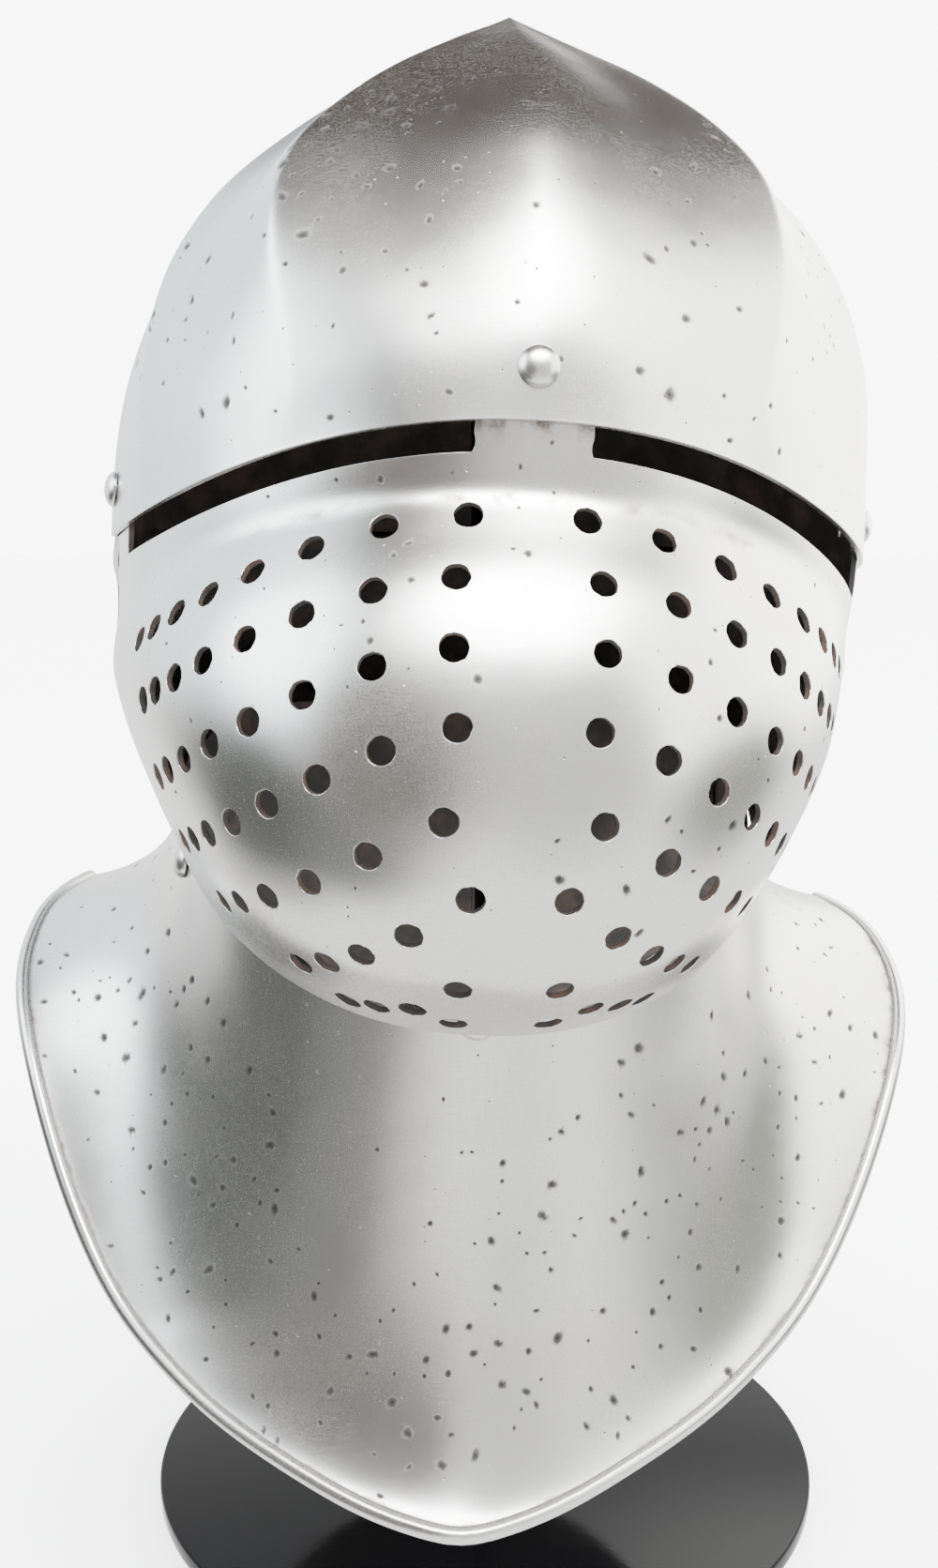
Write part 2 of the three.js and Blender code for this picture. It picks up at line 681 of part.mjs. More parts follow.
function buildBase() {
  const radius = baseDiameter / 2;
  const seat = postDiameter / 2 + gap;
  const profile = [
    new THREE.Vector2(0, 0),
    new THREE.Vector2(radius - baseEdge, 0),
    new THREE.Vector2(radius, baseEdge),
    new THREE.Vector2(radius, baseThickness - baseEdge),
    new THREE.Vector2(radius - baseEdge, baseThickness),
    new THREE.Vector2(seat, baseThickness),
    new THREE.Vector2(seat, baseThickness - postSeatDepth),
    new THREE.Vector2(0, baseThickness - postSeatDepth),
  ];
  return tidy(new THREE.LatheGeometry(profile, roundSides).rotateX(90 * degree));
}

// The helmet's place on the stand
function helmetMatrix() {
  const pivot = new THREE.Matrix4().makeTranslation(0, 0, rollPivotHeight);
  const roll = new THREE.Matrix4().makeRotationY(helmetRoll * degree);
  const turn = new THREE.Matrix4().makeRotationZ(helmetTurn * degree);
  const back = new THREE.Matrix4().makeTranslation(0, 0, -rollPivotHeight);
  const offset = new THREE.Matrix4().makeTranslation(helmetOffset, 0, 0);
  return offset.multiply(pivot).multiply(roll).multiply(turn).multiply(back);
}

// The block on the post that carries the skull from inside, cut to its fluted hollow
const headRises = [0.86, 0.94];
const headEdge = browSideHeight + (apexHeight - browSideHeight) * headRises[0];
const socketTop = headEdge - headBlockDepth + headSocketDepth;

function buildStandHead() {
  const turns = turnsBetween(-180, 180, turnStep).slice(0, -1);
  const foot = socketTop - headSocketDepth;
  const apex = skullUpper(0, 1);
  const top = new THREE.Vector3(apex.x, apex.y, apex.z - apexWall - 2 * gap);
  const middle = new THREE.Vector3(apex.x, apex.y, foot);
  const outer = [];
  for (const turn of turns) {
    const column = headRises.map((rise) => {
      const normal = outward(skullUpper, turn, rise, 0, 1);
      return skullUpper(turn, rise).addScaledVector(normal, -plate - gap);
    });
    const edge = column[0];
    outer.push([new THREE.Vector3(edge.x, edge.y, foot), ...column, top]);
  }
  const positions = [];
  const triangle = (a, b, c) => positions.push(a.x, a.y, a.z, b.x, b.y, b.z, c.x, c.y, c.z);
  for (let i = 0; i < outer.length; i += 1) {
    const here = outer[i];
    const next = outer[(i + 1) % outer.length];
    triangle(middle, next[0], here[0]);
    for (let j = 0; j < here.length - 1; j += 1) {
      triangle(here[j], next[j], next[j + 1]);
      triangle(here[j], next[j + 1], here[j + 1]);
    }
  }
  const geometry = new THREE.BufferGeometry();
  geometry.setAttribute("position", new THREE.Float32BufferAttribute(positions, 3));
  const radius = postDiameter / 2 + gap;
  const depth = 4 * headSocketDepth;
  const socket = new THREE.CylinderGeometry(radius, radius, depth, 16).rotateX(90 * degree);
  socket.translate(0, 0, socketTop - depth / 2);
  socket.applyMatrix4(helmetMatrix().invert());
  return fromSolid(toSolid(geometry).subtract(toSolid(socket)));
}

function buildPost() {
  const foot = baseThickness - postSeatDepth + gap;
  const length = socketTop - gap - foot;
  const post = new THREE.CylinderGeometry(postDiameter / 2, postDiameter / 2, length, 16);
  return tidy(post.rotateX(90 * degree).translate(0, 0, foot + length / 2));
}

// Finishes
const bareSteel = { color: 0xb4b2b0, roughness: 0.32, metalness: 1.0 };
const blackLacquer = { color: 0x0c0c0d, roughness: 0.08, metalness: 0.0 };

function piece(name, geometry, finish) {
  const mesh = new THREE.Mesh(geometry, new THREE.MeshStandardMaterial(finish));
  mesh.name = name;
  return mesh;
}

const helmet = new THREE.Group();
helmet.add(piece("skull", buildSkull(), bareSteel));
helmet.add(piece("face_plate", buildFacePlate(), bareSteel));
helmet.add(piece("gorget_front", buildGorgetFront(), bareSteel));
helmet.add(piece("gorget_back", buildGorgetBack(), bareSteel));
for (const [name, seat] of Object.entries(seats)) {
  helmet.add(piece(name, buildRivet(seat), bareSteel));
}
helmet.add(piece("stand_head", buildStandHead(), blackLacquer));
helmet.applyMatrix4(helmetMatrix());

const group = new THREE.Group();
group.add(helmet);
group.add(piece("stand_base", buildBase(), blackLacquer));
group.add(piece("stand_post", buildPost(), blackLacquer));

export default group;
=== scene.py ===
# %% [markdown]
# # A great bascinet on its stand
#
# This lesson dresses the CAD solids of a steel foot-combat helmet. Every plate is made again from the
# same named sizes as the solids, but fine enough to carry reflections: bare steel shows each flat spot
# of a mesh, so the plates here are smooth surfaces with their own normals, thickened into real sheets
# with softened edges. Age shows as pits, fine scratches and a few brown stains.

import bmesh
import bpy
import numpy as np
from mathutils import Matrix, Vector
from mathutils.geometry import delaunay_2d_cdt


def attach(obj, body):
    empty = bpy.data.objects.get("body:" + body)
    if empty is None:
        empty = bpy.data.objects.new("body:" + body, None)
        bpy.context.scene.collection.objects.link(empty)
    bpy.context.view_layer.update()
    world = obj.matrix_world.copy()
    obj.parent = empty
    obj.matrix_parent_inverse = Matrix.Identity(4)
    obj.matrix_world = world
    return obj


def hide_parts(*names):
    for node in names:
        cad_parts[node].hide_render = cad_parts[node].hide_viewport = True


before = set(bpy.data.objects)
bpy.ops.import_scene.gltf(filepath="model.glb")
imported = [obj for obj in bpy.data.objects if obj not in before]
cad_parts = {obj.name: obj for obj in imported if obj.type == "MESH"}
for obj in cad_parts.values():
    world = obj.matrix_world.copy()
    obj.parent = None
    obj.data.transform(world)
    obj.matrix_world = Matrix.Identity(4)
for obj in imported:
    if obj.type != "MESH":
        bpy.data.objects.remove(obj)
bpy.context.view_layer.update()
degree = np.pi / 180


def added(name, data):
    """A new object in the scene."""
    thing = bpy.data.objects.new(name, data)
    bpy.context.scene.collection.objects.link(thing)
    return thing


def unit(vectors):
    return vectors / (np.linalg.norm(vectors, axis=1)[:, None] + 1e-12)


# %% [markdown]
# ## The camera
#
# The photo was taken from close by and a little above the chin, so the helmet's crown leans away and
# the gorget swells towards the lens. The focal length, the height and the 10 degree tilt were worked
# out from the ellipse of the round base, whose real size is known.

# %% Camera
PHOTO_HEIGHT = 1671
FOCAL_PIXELS = 1800
CAMERA_PLACE = (-0.0058, -0.582, 0.361)
CAMERA_TILT = 10
camera_data = bpy.data.cameras.new("camera")
camera_data.sensor_fit = "VERTICAL"
camera_data.sensor_height = 24
camera_data.lens = camera_data.sensor_height * FOCAL_PIXELS / PHOTO_HEIGHT
camera = added("camera", camera_data)
camera.location = CAMERA_PLACE
camera.rotation_euler = ((90 - CAMERA_TILT) * degree, 0, 0)
bpy.context.scene.camera = camera

# %% [markdown]
# ## The sizes
#
# All lengths are in millimetres in the helmet's own upright frame: it looks along -Y, and heights are
# above the stand's underside. The plates are 2 mm sheet. The bowl is drawn up to a low point, with a
# shallow flute between each two of its twelve ridges. The face plate swells out in front of the mouth
# so that the wearer could breathe.

# %% Sizes of the plates
plate = 2.0
gap = 0.3
gorget_lap_gaps = 1.6
brow_front_height = 378.5
brow_side_height = 338.5
apex_height = 514.0
apex_setback = 10.0
temple_setback = 2.0
skull_half_width = 125.0
skull_front_reach = 129.8
skull_back_reach = 127.0
nape_height = 262.0
nape_ease = 2.1
nape_edge_turn = 6.0
ridge_count = 12
ridge_swing = 11.0
flute_depth = 6.5
lower_front_height = 208.0
lower_side_height = 258.0
bulge_reach = 162.5
band_height = 20.0
cheek_band_extra = 6.0
flange_height = 24.0
flange_ease = 0.8
brow_power = 2.0
lower_power = 1.3
bulge_lean = -4.0
face_plate_end = 105.0
sight_height = 8.2
sight_extra_drop = 5.0
sight_inner_x = 14.5
sight_outer_turn = 70.0
sight_rise_under_brow = 3.0
breath_diameter = 7.8
breath_row_lean = 0.75
neck_lap = 6.0
neck_front_reach = 118.0
neck_top_behind = 274.0
neck_ease = 0.5
collar_below = 1.0
collar_share = 0.1
gorget_half_width = 152.5
gorget_front_reach = 156.0
gorget_back_reach = 147.0
gorget_tip_height = 73.0
shoulder_height = 226.0
tip_offset = -7.0
roll_diameter = 5.0
rim_growth = 2.0
rim_fall = 1.35
face_depth = brow_front_height - lower_front_height
face_half_width = skull_half_width - plate - gap

# %% Tables of sections, the same as the solids have
def table(names, *rows):
    """Rows of values under the names of their columns."""
    return [dict(zip(names.split(), row)) for row in rows]


SKULL_SECTIONS = table(
    "rise width front back square flute",
    (0.0, 1.0, 1.0, 1.0, 2.1, 0),
    (0.16, 1.0, 0.991, 1.005, 2.15, 0.36),
    (0.26, 0.984, 0.971, 1.0, 2.2, 0.62),
    (0.38, 0.936, 0.932, 0.968, 2.3, 1.0),
    (0.5, 0.856, 0.878, 0.905, 2.4, 1.4),
    (0.6, 0.752, 0.815, 0.827, 2.5, 1.75),
    (0.7, 0.6, 0.705, 0.7, 2.5, 2.0),
    (0.8, 0.416, 0.53, 0.52, 2.4, 2.2),
    (0.9, 0.208, 0.28, 0.276, 2.2, 2.2),
    (0.96, 0.084, 0.108, 0.11, 2.1, 1.8),
    (1.0, 0.0, 0.0, 0.0, 2.0, 1.2),
)
FACE_SECTIONS = table(
    "drop reach width back square",
    (0.0, 0.785, 1.0, 0.985, 2.1),
    (0.06, 0.785, 0.997, 0.984, 2.12),
    (0.115, 0.788, 0.991, 0.983, 2.15),
    (0.15, 0.812, 0.989, 0.98, 2.2),
    (0.245, 0.886, 0.982, 0.97, 2.3),
    (0.347, 0.945, 0.97, 0.95, 2.35),
    (0.465, 0.985, 0.949, 0.925, 2.38),
    (0.606, 1.0, 0.917, 0.895, 2.35),
    (0.727, 0.985, 0.884, 0.866, 2.3),
    (0.82, 0.948, 0.86, 0.846, 2.25),
    (0.89, 0.902, 0.84, 0.833, 2.2),
    (0.95, 0.837, 0.827, 0.823, 2.2),
    (1.0, 0.763, 0.815, 0.82, 2.2),
)
RIM_SECTIONS = table(
    "turn width reach drop",
    (0, 0.0, 1.0, 1.0),
    (8, 0.137, 0.955, 0.984),
    (20, 0.323, 0.867, 0.935),
    (37, 0.557, 0.722, 0.84),
    (53, 0.751, 0.554, 0.686),
    (62, 0.851, 0.442, 0.529),
    (71, 0.936, 0.315, 0.345),
    (80, 0.985, 0.17, 0.22),
    (90, 0.977, 0.0, 0.125),
    (102, 0.917, -0.202, 0.085),
    (120, 0.8, -0.48, 0.13),
    (150, 0.469, -0.842, 0.47),
    (180, 0.0, -1.0, 0.68),
)
BREATH_ROWS = table(
    "drop fall bow first pitch taper count",
    (0.145, 0.105, 1.5, 16, 23, 0.95, 8),
    (0.238, 0.17, 1.5, 19.5, 22.3, 0.95, 8),
    (0.34, 0.255, 1.4, 20, 21.8, 0.85, 8),
    (0.456, 0.32, 1.3, 18.5, 20.5, 0.8, 8),
    (0.598, 0.365, 1.1, 21, 21.5, 1.1, 6),
    (0.717, 0.365, 0.9, 13, 17.6, 1.15, 5),
    (0.884, 0.125, 0.35, 14, 12.5, 0.7, 4),
    (0.968, 0.0, 1.0, 13.5, 20, 0, 1),
)

# %% [markdown]
# ## Smooth curves through the tables
#
# An armourer's curves have no corners where a table has a row, and polished steel would show one. So
# each column is sampled finely, softened a little, and read back with a cubic.

# %% Curves through the tables
SAMPLES = 400


def smoothstep(low, high, value):
    share = np.clip((value - low) / (high - low), 0, 1)
    return share * share * (3 - 2 * share)


def power(value, exponent):
    return np.sign(value) * np.abs(value) ** exponent


def hermite(keys, values, at):
    gaps = np.diff(keys)
    slopes = np.diff(values) / gaps
    tangents = np.empty(len(values))
    tangents[0] = slopes[0]
    tangents[-1] = slopes[-1]
    tangents[1:-1] = (slopes[:-1] * gaps[1:] + slopes[1:] * gaps[:-1]) / (gaps[1:] + gaps[:-1])
    i = np.clip(np.searchsorted(keys, at, side="right") - 1, 0, len(keys) - 2)
    t = (at - keys[i]) / gaps[i]
    return (
        (2 * t**3 - 3 * t**2 + 1) * values[i]
        + (t**3 - 2 * t**2 + t) * gaps[i] * tangents[i]
        + (3 * t**2 - 2 * t**3) * values[i + 1]
        + (t**3 - t**2) * gaps[i] * tangents[i + 1]
    )


def column(table, key, name, softness=0.02, even=False):
    """A smooth curve through one column of a table. An even curve is level where it starts."""
    keys = np.array([row[key] for row in table], float)
    values = np.array([row[name] for row in table], float)
    line = hermite(keys, values, np.linspace(keys[0], keys[-1], SAMPLES + 1))
    reach = max(1, int(3 * softness * SAMPLES))
    weights = np.exp(-0.5 * (np.arange(-reach, reach + 1) / (softness * SAMPLES)) ** 2)
    weights /= weights.sum()
    before = line[reach:0:-1] if even else 2 * line[0] - line[reach:0:-1]
    after = 2 * line[-1] - line[-2 : -reach - 2 : -1]
    soft = np.convolve(np.concatenate([before, line, after]), weights, "valid")

    def read(value):
        place = (np.clip(value, keys[0], keys[-1]) - keys[0]) / (keys[-1] - keys[0]) * SAMPLES
        i = np.clip(np.floor(place).astype(int), 0, SAMPLES - 1)
        t = place - i
        p0 = soft[np.maximum(i - 1, 0)]
        p1 = soft[i]
        p2 = soft[i + 1]
        p3 = soft[np.minimum(i + 2, SAMPLES)]
        bend = 2 * p0 - 5 * p1 + 4 * p2 - p3 + t * (3 * (p1 - p2) + p3 - p0)
        return p1 + 0.5 * t * (p2 - p0 + t * bend)

    return read


def columns(table, key, names, softness=0.02, even=()):
    return {name: column(table, key, name, softness, name in even) for name in names}


skull_at = columns(SKULL_SECTIONS, "rise", ["width", "front", "back", "square", "flute"], 0.025)
face_at = columns(FACE_SECTIONS, "drop", ["reach", "width", "back", "square"], 0.012)
rim_at = columns(RIM_SECTIONS, "turn", ["width", "reach", "drop"], 0.012, ["reach", "drop"])
chest_at = columns(RIM_SECTIONS, "turn", ["width", "reach", "drop"], 0.05, ["reach", "drop"])

# %% [markdown]
# ## The surfaces
#
# Each plate is a surface with two coordinates: the turn round the head and a share up or down. A
# section is an ellipse a little squared off, as a helmet is. It is written so that the curve stays
# smooth at the front and the sides, where a plain superellipse would have flat spots.

# %% Surfaces of the helmet
def brow_height(turn):
    front = np.maximum(0, np.cos(turn))
    return brow_side_height + (brow_front_height - brow_side_height) * front**brow_power


def lower_height(turn):
    front = np.maximum(0, np.cos(turn))
    return lower_side_height + (lower_front_height - lower_side_height) * front**lower_power


def squarish(turn, square):
    """Side and front shares of a squared-off circle."""
    side = power(np.sin(turn), 2 / square)
    front = power(np.cos(turn), 2 / square)
    length = np.hypot(side, front)
    side = side / length
    front = front / length
    bulge = 2 ** (0.5 - 1 / square) - 1
    factor = 1 + bulge * (2 * side * front) ** 2
    return side * factor, front * factor


# How far each ridge is rounded over, as a share of its flute's depth
RIDGE_ROUND = 0.07


def skull_upper(turn, rise, inset=0.0):
    swing = ridge_swing * degree * np.sin(2 * turn) * smoothstep(0.1, 0.65, rise)
    side, front = squarish(turn + swing, skull_at["square"](rise))
    half_width = skull_at["width"](rise) * skull_half_width - inset
    ahead = skull_at["front"](rise) * skull_front_reach
    behind = skull_at["back"](rise) * skull_back_reach
    reach = np.where(front >= 0, ahead, behind)
    wave = np.sqrt(np.sin(ridge_count * turn / 2) ** 2 + RIDGE_ROUND**2) - RIDGE_ROUND
    hollow = 1 - flute_depth / skull_front_reach * skull_at["flute"](rise) * wave
    middle = temple_setback + apex_setback * rise
    brow = brow_height(turn)
    return np.stack(
        [
            half_width * side * hollow,
            middle - (reach - inset + temple_setback * (1 - rise)) * front * hollow,
            brow + (apex_height - brow) * rise,
        ],
        -1,
    )


def band_at(turn):
    """Height of the plain band under the brow, which is taller at the cheeks."""
    return band_height + cheek_band_extra * smoothstep(50 * degree, 85 * degree, np.abs(turn))


def head_form(turn, drop, outset=0.0):
    side, front = squarish(turn, face_at["square"](drop))
    half_width = face_at["width"](drop) * face_half_width + outset
    ahead = face_at["reach"](drop) * bulge_reach + temple_setback
    behind = face_at["back"](drop) * skull_back_reach - temple_setback
    reach = np.where(front >= 0, ahead, behind)
    depth = drop * face_depth
    band = band_at(turn)
    total = brow_height(turn) - lower_height(turn)
    below = np.where(
        depth < band_height,
        depth * band / band_height,
        band + (depth - band_height) * (total - band) / (face_depth - band_height),
    )
    return np.stack(
        [
            half_width * side + bulge_lean * smoothstep(0, 0.4, drop),
            temple_setback - (reach + outset) * front,
            brow_height(turn) - below,
        ],
        -1,
    )


def face_point(turn, down):
    rise = np.maximum(0, -down) * flange_height / (apex_height - brow_height(turn))
    above = skull_upper(turn, rise, plate + gap + np.maximum(0, -down) * flange_ease)
    return np.where((down >= 0)[..., None], head_form(turn, np.maximum(0, down)), above)


def nape_point(turn, share):
    depth = share * (brow_side_height - nape_height)
    size = np.abs(turn)
    swing = nape_edge_turn * degree * smoothstep(0, 0.25, share) * (np.pi - size) / (np.pi / 2)
    band = band_height + cheek_band_extra
    side_depth = brow_side_height - lower_side_height
    down = np.where(
        depth < band,
        depth * band_height / band,
        band_height + (depth - band) * (face_depth - band_height) / (side_depth - band),
    )
    outset = plate + gap + nape_ease * smoothstep(0, 0.15, share)
    return head_form(np.sign(turn) * (size + swing), down / face_depth, outset)


def skull_point(turn, rise):
    """The bowl above the brow, and below it (rise under 0) the plate down to the nape."""
    below = nape_point(turn, np.maximum(0, -rise))
    return np.where((rise >= 0)[..., None], skull_upper(turn, np.maximum(0, rise)), below)


def gorget_point(turn, out):
    size = np.abs(turn) / degree
    lowest = FACE_SECTIONS[-1]
    side, front = squarish(turn, lowest["square"])
    neck_half_width = lowest["width"] * face_half_width - plate - gap - neck_ease
    nape_back = lowest["back"] * skull_back_reach + nape_ease + plate + gap
    neck_reach = np.where(front >= 0, neck_front_reach, nape_back)
    reach = np.where(front >= 0, gorget_front_reach, gorget_back_reach)
    rising = smoothstep(90, 120, size)
    neck_top = lower_height(turn) + neck_lap + (neck_top_behind - lower_side_height - neck_lap) * rising
    neck = np.stack(
        [
            neck_half_width * side + bulge_lean,
            temple_setback - (neck_reach + np.sign(front) * temple_setback) * front,
            neck_top,
        ],
        -1,
    )
    # The keel that runs up from the tip fades out over the chest
    keel = smoothstep(0.35, 1.0, out)
    width = chest_at["width"](size) * (1 - keel) + rim_at["width"](size) * keel
    ahead = chest_at["reach"](size) * (1 - keel) + rim_at["reach"](size) * keel
    fallen = chest_at["drop"](size) * (1 - keel) + rim_at["drop"](size) * keel
    rim = np.stack(
        [
            np.sign(turn) * width * gorget_half_width
            + tip_offset * np.maximum(0, np.cos(turn)) ** 2,
            -ahead * reach,
            shoulder_height + (gorget_tip_height - shoulder_height) * fallen,
        ],
        -1,
    )
    collar_foot = lower_height(turn) - collar_below
    flare = np.clip((out - collar_share) / (1 - collar_share), 0, 1)
    collar = np.clip(out / collar_share, 0, 1)
    growth = (flare**rim_growth)[..., None]
    fall = 1 - (1 - flare) ** rim_fall
    place = neck + (rim - neck) * growth
    place[..., 2] = np.where(
        out < collar_share,
        neck_top + (collar_foot - neck_top) * collar,
        collar_foot + (rim[..., 2] - collar_foot) * fall,
    )
    return place


# %% [markdown]
# ## The helmet's place
#
# The helmet sits on the stand turned a little to the viewer's left and leaning the same way. Every
# piece of it goes through this one placement, and only then into metres.

# %% Placement on the stand
helmet_turn = 4.5 * degree
helmet_roll = 2.8 * degree
helmet_shift = -0.5
pivot = Vector((0, 0, 330))
helmet_place = (
    Matrix.Translation((helmet_shift, 0, 0))
    @ Matrix.Translation(pivot)
    @ Matrix.Rotation(helmet_roll, 4, "Y")
    @ Matrix.Rotation(helmet_turn, 4, "Z")
    @ Matrix.Translation(-pivot)
)
PLACE = np.array(helmet_place)
UPRIGHT = np.eye(4)


def placed(points, place):
    return points @ place[:3, :3].T + place[:3, 3]


# %% [markdown]
# ## Hammered steel
#
# Sheet raised by hand is never perfectly even. A sum of a few broad, shallow waves gives each plate
# the slow wobble that bends its reflections. Their slopes are known exactly, so the normals are too.

# %% The hammered wobble
WAVES = table(
    "count shortest longest height",
    (10, 55.0, 120.0, 0.09),
    (12, 26.0, 50.0, 0.022),
    (14, 11.0, 20.0, 0.0035),
)


def wave_set(seed):
    random = np.random.default_rng(seed)
    waves = []
    for row in WAVES:
        for _ in range(row["count"]):
            direction = random.normal(size=3)
            direction /= np.linalg.norm(direction)
            length = random.uniform(row["shortest"], row["longest"])
            waves.append((direction * 2 * np.pi / length, random.uniform(0, 2 * np.pi), row["height"]))
    return waves


def wobble(points, waves):
    """Height of the waves at each point and its gradient."""
    height = np.zeros(len(points))
    slope = np.zeros_like(points)
    for direction, phase, size in waves:
        angle = points @ direction + phase
        height += size * np.cos(angle)
        slope -= size * np.sin(angle)[:, None] * direction
    return height, slope


def surface_normals(surface, turn, share, low, high, step=(0.004, 0.004)):
    """Normals of a surface, pointing away from the head's middle line."""
    right = surface(turn + step[0], share)
    left = surface(turn - step[0], share)
    more = np.minimum(high, share + step[1])
    less = np.maximum(low, share - step[1])
    along = surface(turn, more) - surface(turn, less)
    normal = unit(np.cross(right - left, along))
    place = surface(turn, share)
    away = (place - np.array([0, temple_setback + apex_setback, 0])) * np.array([1, 1, 0])
    facing = np.sign(np.sum(normal * away, axis=1))
    return normal * np.where(facing == 0, 1, facing)[:, None]


# %% [markdown]
# ## From a flat chart to a sheet of steel
#
# A plate is first laid out flat as a chart of points, with rings of points round each hole and each
# pit. One triangulation joins them all, so the holes are cut clean and the pits sink into the sheet
# itself. Then the chart is bent onto its surface and thickened, with every free edge softened.

# %% Chart, triangles and thickening
PIT_RINGS = table(
    "reach sides depth",
    (1.35, 10, 0.0),
    (1.0, 10, 0.12),
    (0.62, 8, 0.85),
    (0.0, 1, 1.0),
)


def spots(surface, places, step=0.002):
    """For chart places: the tangent frame's map from millimetres on the plate to chart steps."""
    turn, share = places[:, 0], places[:, 1]
    across = (surface(turn + step, share) - surface(turn - step, share)) / (2 * step)
    along = (surface(turn, share + step) - surface(turn, share - step)) / (2 * step)
    first = unit(across)
    second = np.cross(unit(np.cross(across, along)), first)
    rows = [np.stack([np.sum(across * axis, 1), np.sum(along * axis, 1)], -1) for axis in (first, second)]
    jacobian = np.stack(rows, 1)
    return np.linalg.inv(jacobian), jacobian


def ring(centre, to_chart, radius, sides, stretch=1.0, twist=0.0, rough=None):
    angle = np.arange(sides) * 2 * np.pi / sides
    size = radius * np.ones(sides) if rough is None else radius * rough
    offset = np.stack([np.cos(angle) * stretch, np.sin(angle) / stretch], -1) * size[:, None]
    spin = np.array([[np.cos(twist), -np.sin(twist)], [np.sin(twist), np.cos(twist)]])
    return centre + (offset @ spin.T) @ to_chart.T


def clear_of(grid, centre, jacobian, radius):
    """True for chart points farther than a radius on the plate from a centre."""
    offset = (grid - centre) @ jacobian.T
    return np.sum(offset**2, axis=1) > radius**2


def triangulate(points):
    result = delaunay_2d_cdt([Vector(p) for p in points], [], [], 0, 1e-7)
    if len(result[0]) != len(points):
        raise ValueError("the triangulation merged points")
    return np.array(result[2], int)


def weld(points, triangles):
    """Joins points that fall together, such as a seam or the apex."""
    _, first, same = np.unique(np.round(points, 4), axis=0, return_index=True, return_inverse=True)
    triangles = same.reshape(-1)[triangles]
    a, b, c = triangles.T
    triangles = triangles[(a != b) & (b != c) & (c != a)]
    return first, triangles


def thicken(points, normals, triangles, thickness=plate, bevel=0.3):
    """A closed sheet from its outer skin. Returns points, normals and triangles."""
    count = len(points)
    edges = np.concatenate([triangles[:, [0, 1]], triangles[:, [1, 2]], triangles[:, [2, 0]]])
    opposite = np.concatenate([triangles[:, 2], triangles[:, 0], triangles[:, 1]])
    code = np.minimum(edges[:, 0], edges[:, 1]) * count + np.maximum(edges[:, 0], edges[:, 1])
    _, index, uses = np.unique(code, return_index=True, return_counts=True)
    border = edges[index[uses == 1]]
    inner_corner = opposite[index[uses == 1]]
    inward = np.zeros_like(points)
    for k in (0, 1):
        at = border[:, k]
        along = points[border[:, 1]] - points[border[:, 0]]
        side = np.cross(normals[at], along)
        to_corner = points[inner_corner] - points[border[:, 0]]
        side *= np.sign(np.sum(side * to_corner, axis=1))[:, None]
        np.add.at(inward, at, unit(side))
    rim = np.unique(border)
    inward[rim] = unit(inward[rim])
    order = -np.ones(count, int)
    order[rim] = np.arange(len(rim))
    outer = points + inward * bevel
    inner = outer - normals * thickness
    high = points[rim] - normals[rim] * bevel
    low = points[rim] - normals[rim] * (thickness - bevel)
    all_points = np.concatenate([outer, inner, high, low])
    all_normals = np.concatenate([normals, -normals, -inward[rim], -inward[rim]])
    a, b = border[:, 0], border[:, 1]
    ha, hb = 2 * count + order[a], 2 * count + order[b]
    la, lb = ha + len(rim), hb + len(rim)
    quads = [(a, b, hb, ha), (ha, hb, lb, la), (la, lb, b + count, a + count)]
    faces = [triangles, triangles[:, ::-1] + count]
    for q in quads:
        faces.append(np.stack([q[1], q[0], q[3]], -1))
        faces.append(np.stack([q[1], q[3], q[2]], -1))
    return all_points, all_normals, np.concatenate(faces)


def turned_out(points, normals, triangles):
    """Turns each triangle so that it faces the way its normals do."""
    a, b, c = (points[triangles[:, k]] for k in range(3))
    flat = np.cross(b - a, c - a)
    wanted = normals[triangles].sum(1)
    wrong = np.sum(flat * wanted, axis=1) < 0
    triangles = triangles.copy()
    triangles[wrong] = triangles[wrong][:, ::-1]
    return triangles


# %% [markdown]
# ## Making a piece
#
# One function turns points into a named object: it puts them in place, converts to metres, keeps the
# exact normals, stores where the plate is worn, stained or painted with shade for the shader to read,
# and gives it to the frame.

# %% Pieces
def make_piece(name, points, normals, triangles, material, place=PLACE, marks=None, slot="bare_steel",
               inside=None):
    mesh = bpy.data.meshes.new(name)
    where = placed(points, place) / 1000
    mesh.from_pydata(where.tolist(), [], triangles.tolist())
    mesh.polygons.foreach_set("use_smooth", [True] * len(mesh.polygons))
    mesh.normals_split_custom_set_from_vertices((normals @ place[:3, :3].T).tolist())
    for mark, values in (marks or {}).items():
        layer = mesh.attributes.new(mark, "FLOAT", "POINT")
        layer.data.foreach_set("value", np.asarray(values, np.float32))
    mesh.materials.append(material)
    if inside is not None:
        mesh.materials.append(inside)
        back = (marks["inner"][triangles] > 0.5).all(axis=1)
        mesh.polygons.foreach_set("material_index", back.astype(np.int32))
    piece = added(name, mesh)
    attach(piece, "root")
    print(name, "triangles", len(triangles), "size mm", np.round(np.ptp(where, axis=0) * 1000, 1))
    return piece


def make_plate(name, parts):
    points, normals, triangles, marks = parts
    return make_piece(name, points, normals, triangles, steel, marks=marks, inside=scale)


# %% [markdown]
# ## Colours and nodes
#
# Colours are written as they look on a screen and turned into the renderer's linear values. A small
# function adds a node with its settings, so that each material reads as a list of what it is made of.

# %% Node helpers
def linear(code):
    values = [int(code[k : k + 2], 16) / 255 for k in (1, 3, 5)]
    return tuple(v / 12.92 if v <= 0.04045 else ((v + 0.055) / 1.055) ** 2.4 for v in values) + (1.0,)


def feed(tree, made_node, inputs):
    """Gives a node its inputs, each a value or a socket to link from."""
    for name, value in inputs.items():
        socket = made_node.inputs[name]
        if isinstance(value, bpy.types.NodeSocket):
            tree.links.new(value, socket)
        else:
            socket.default_value = value


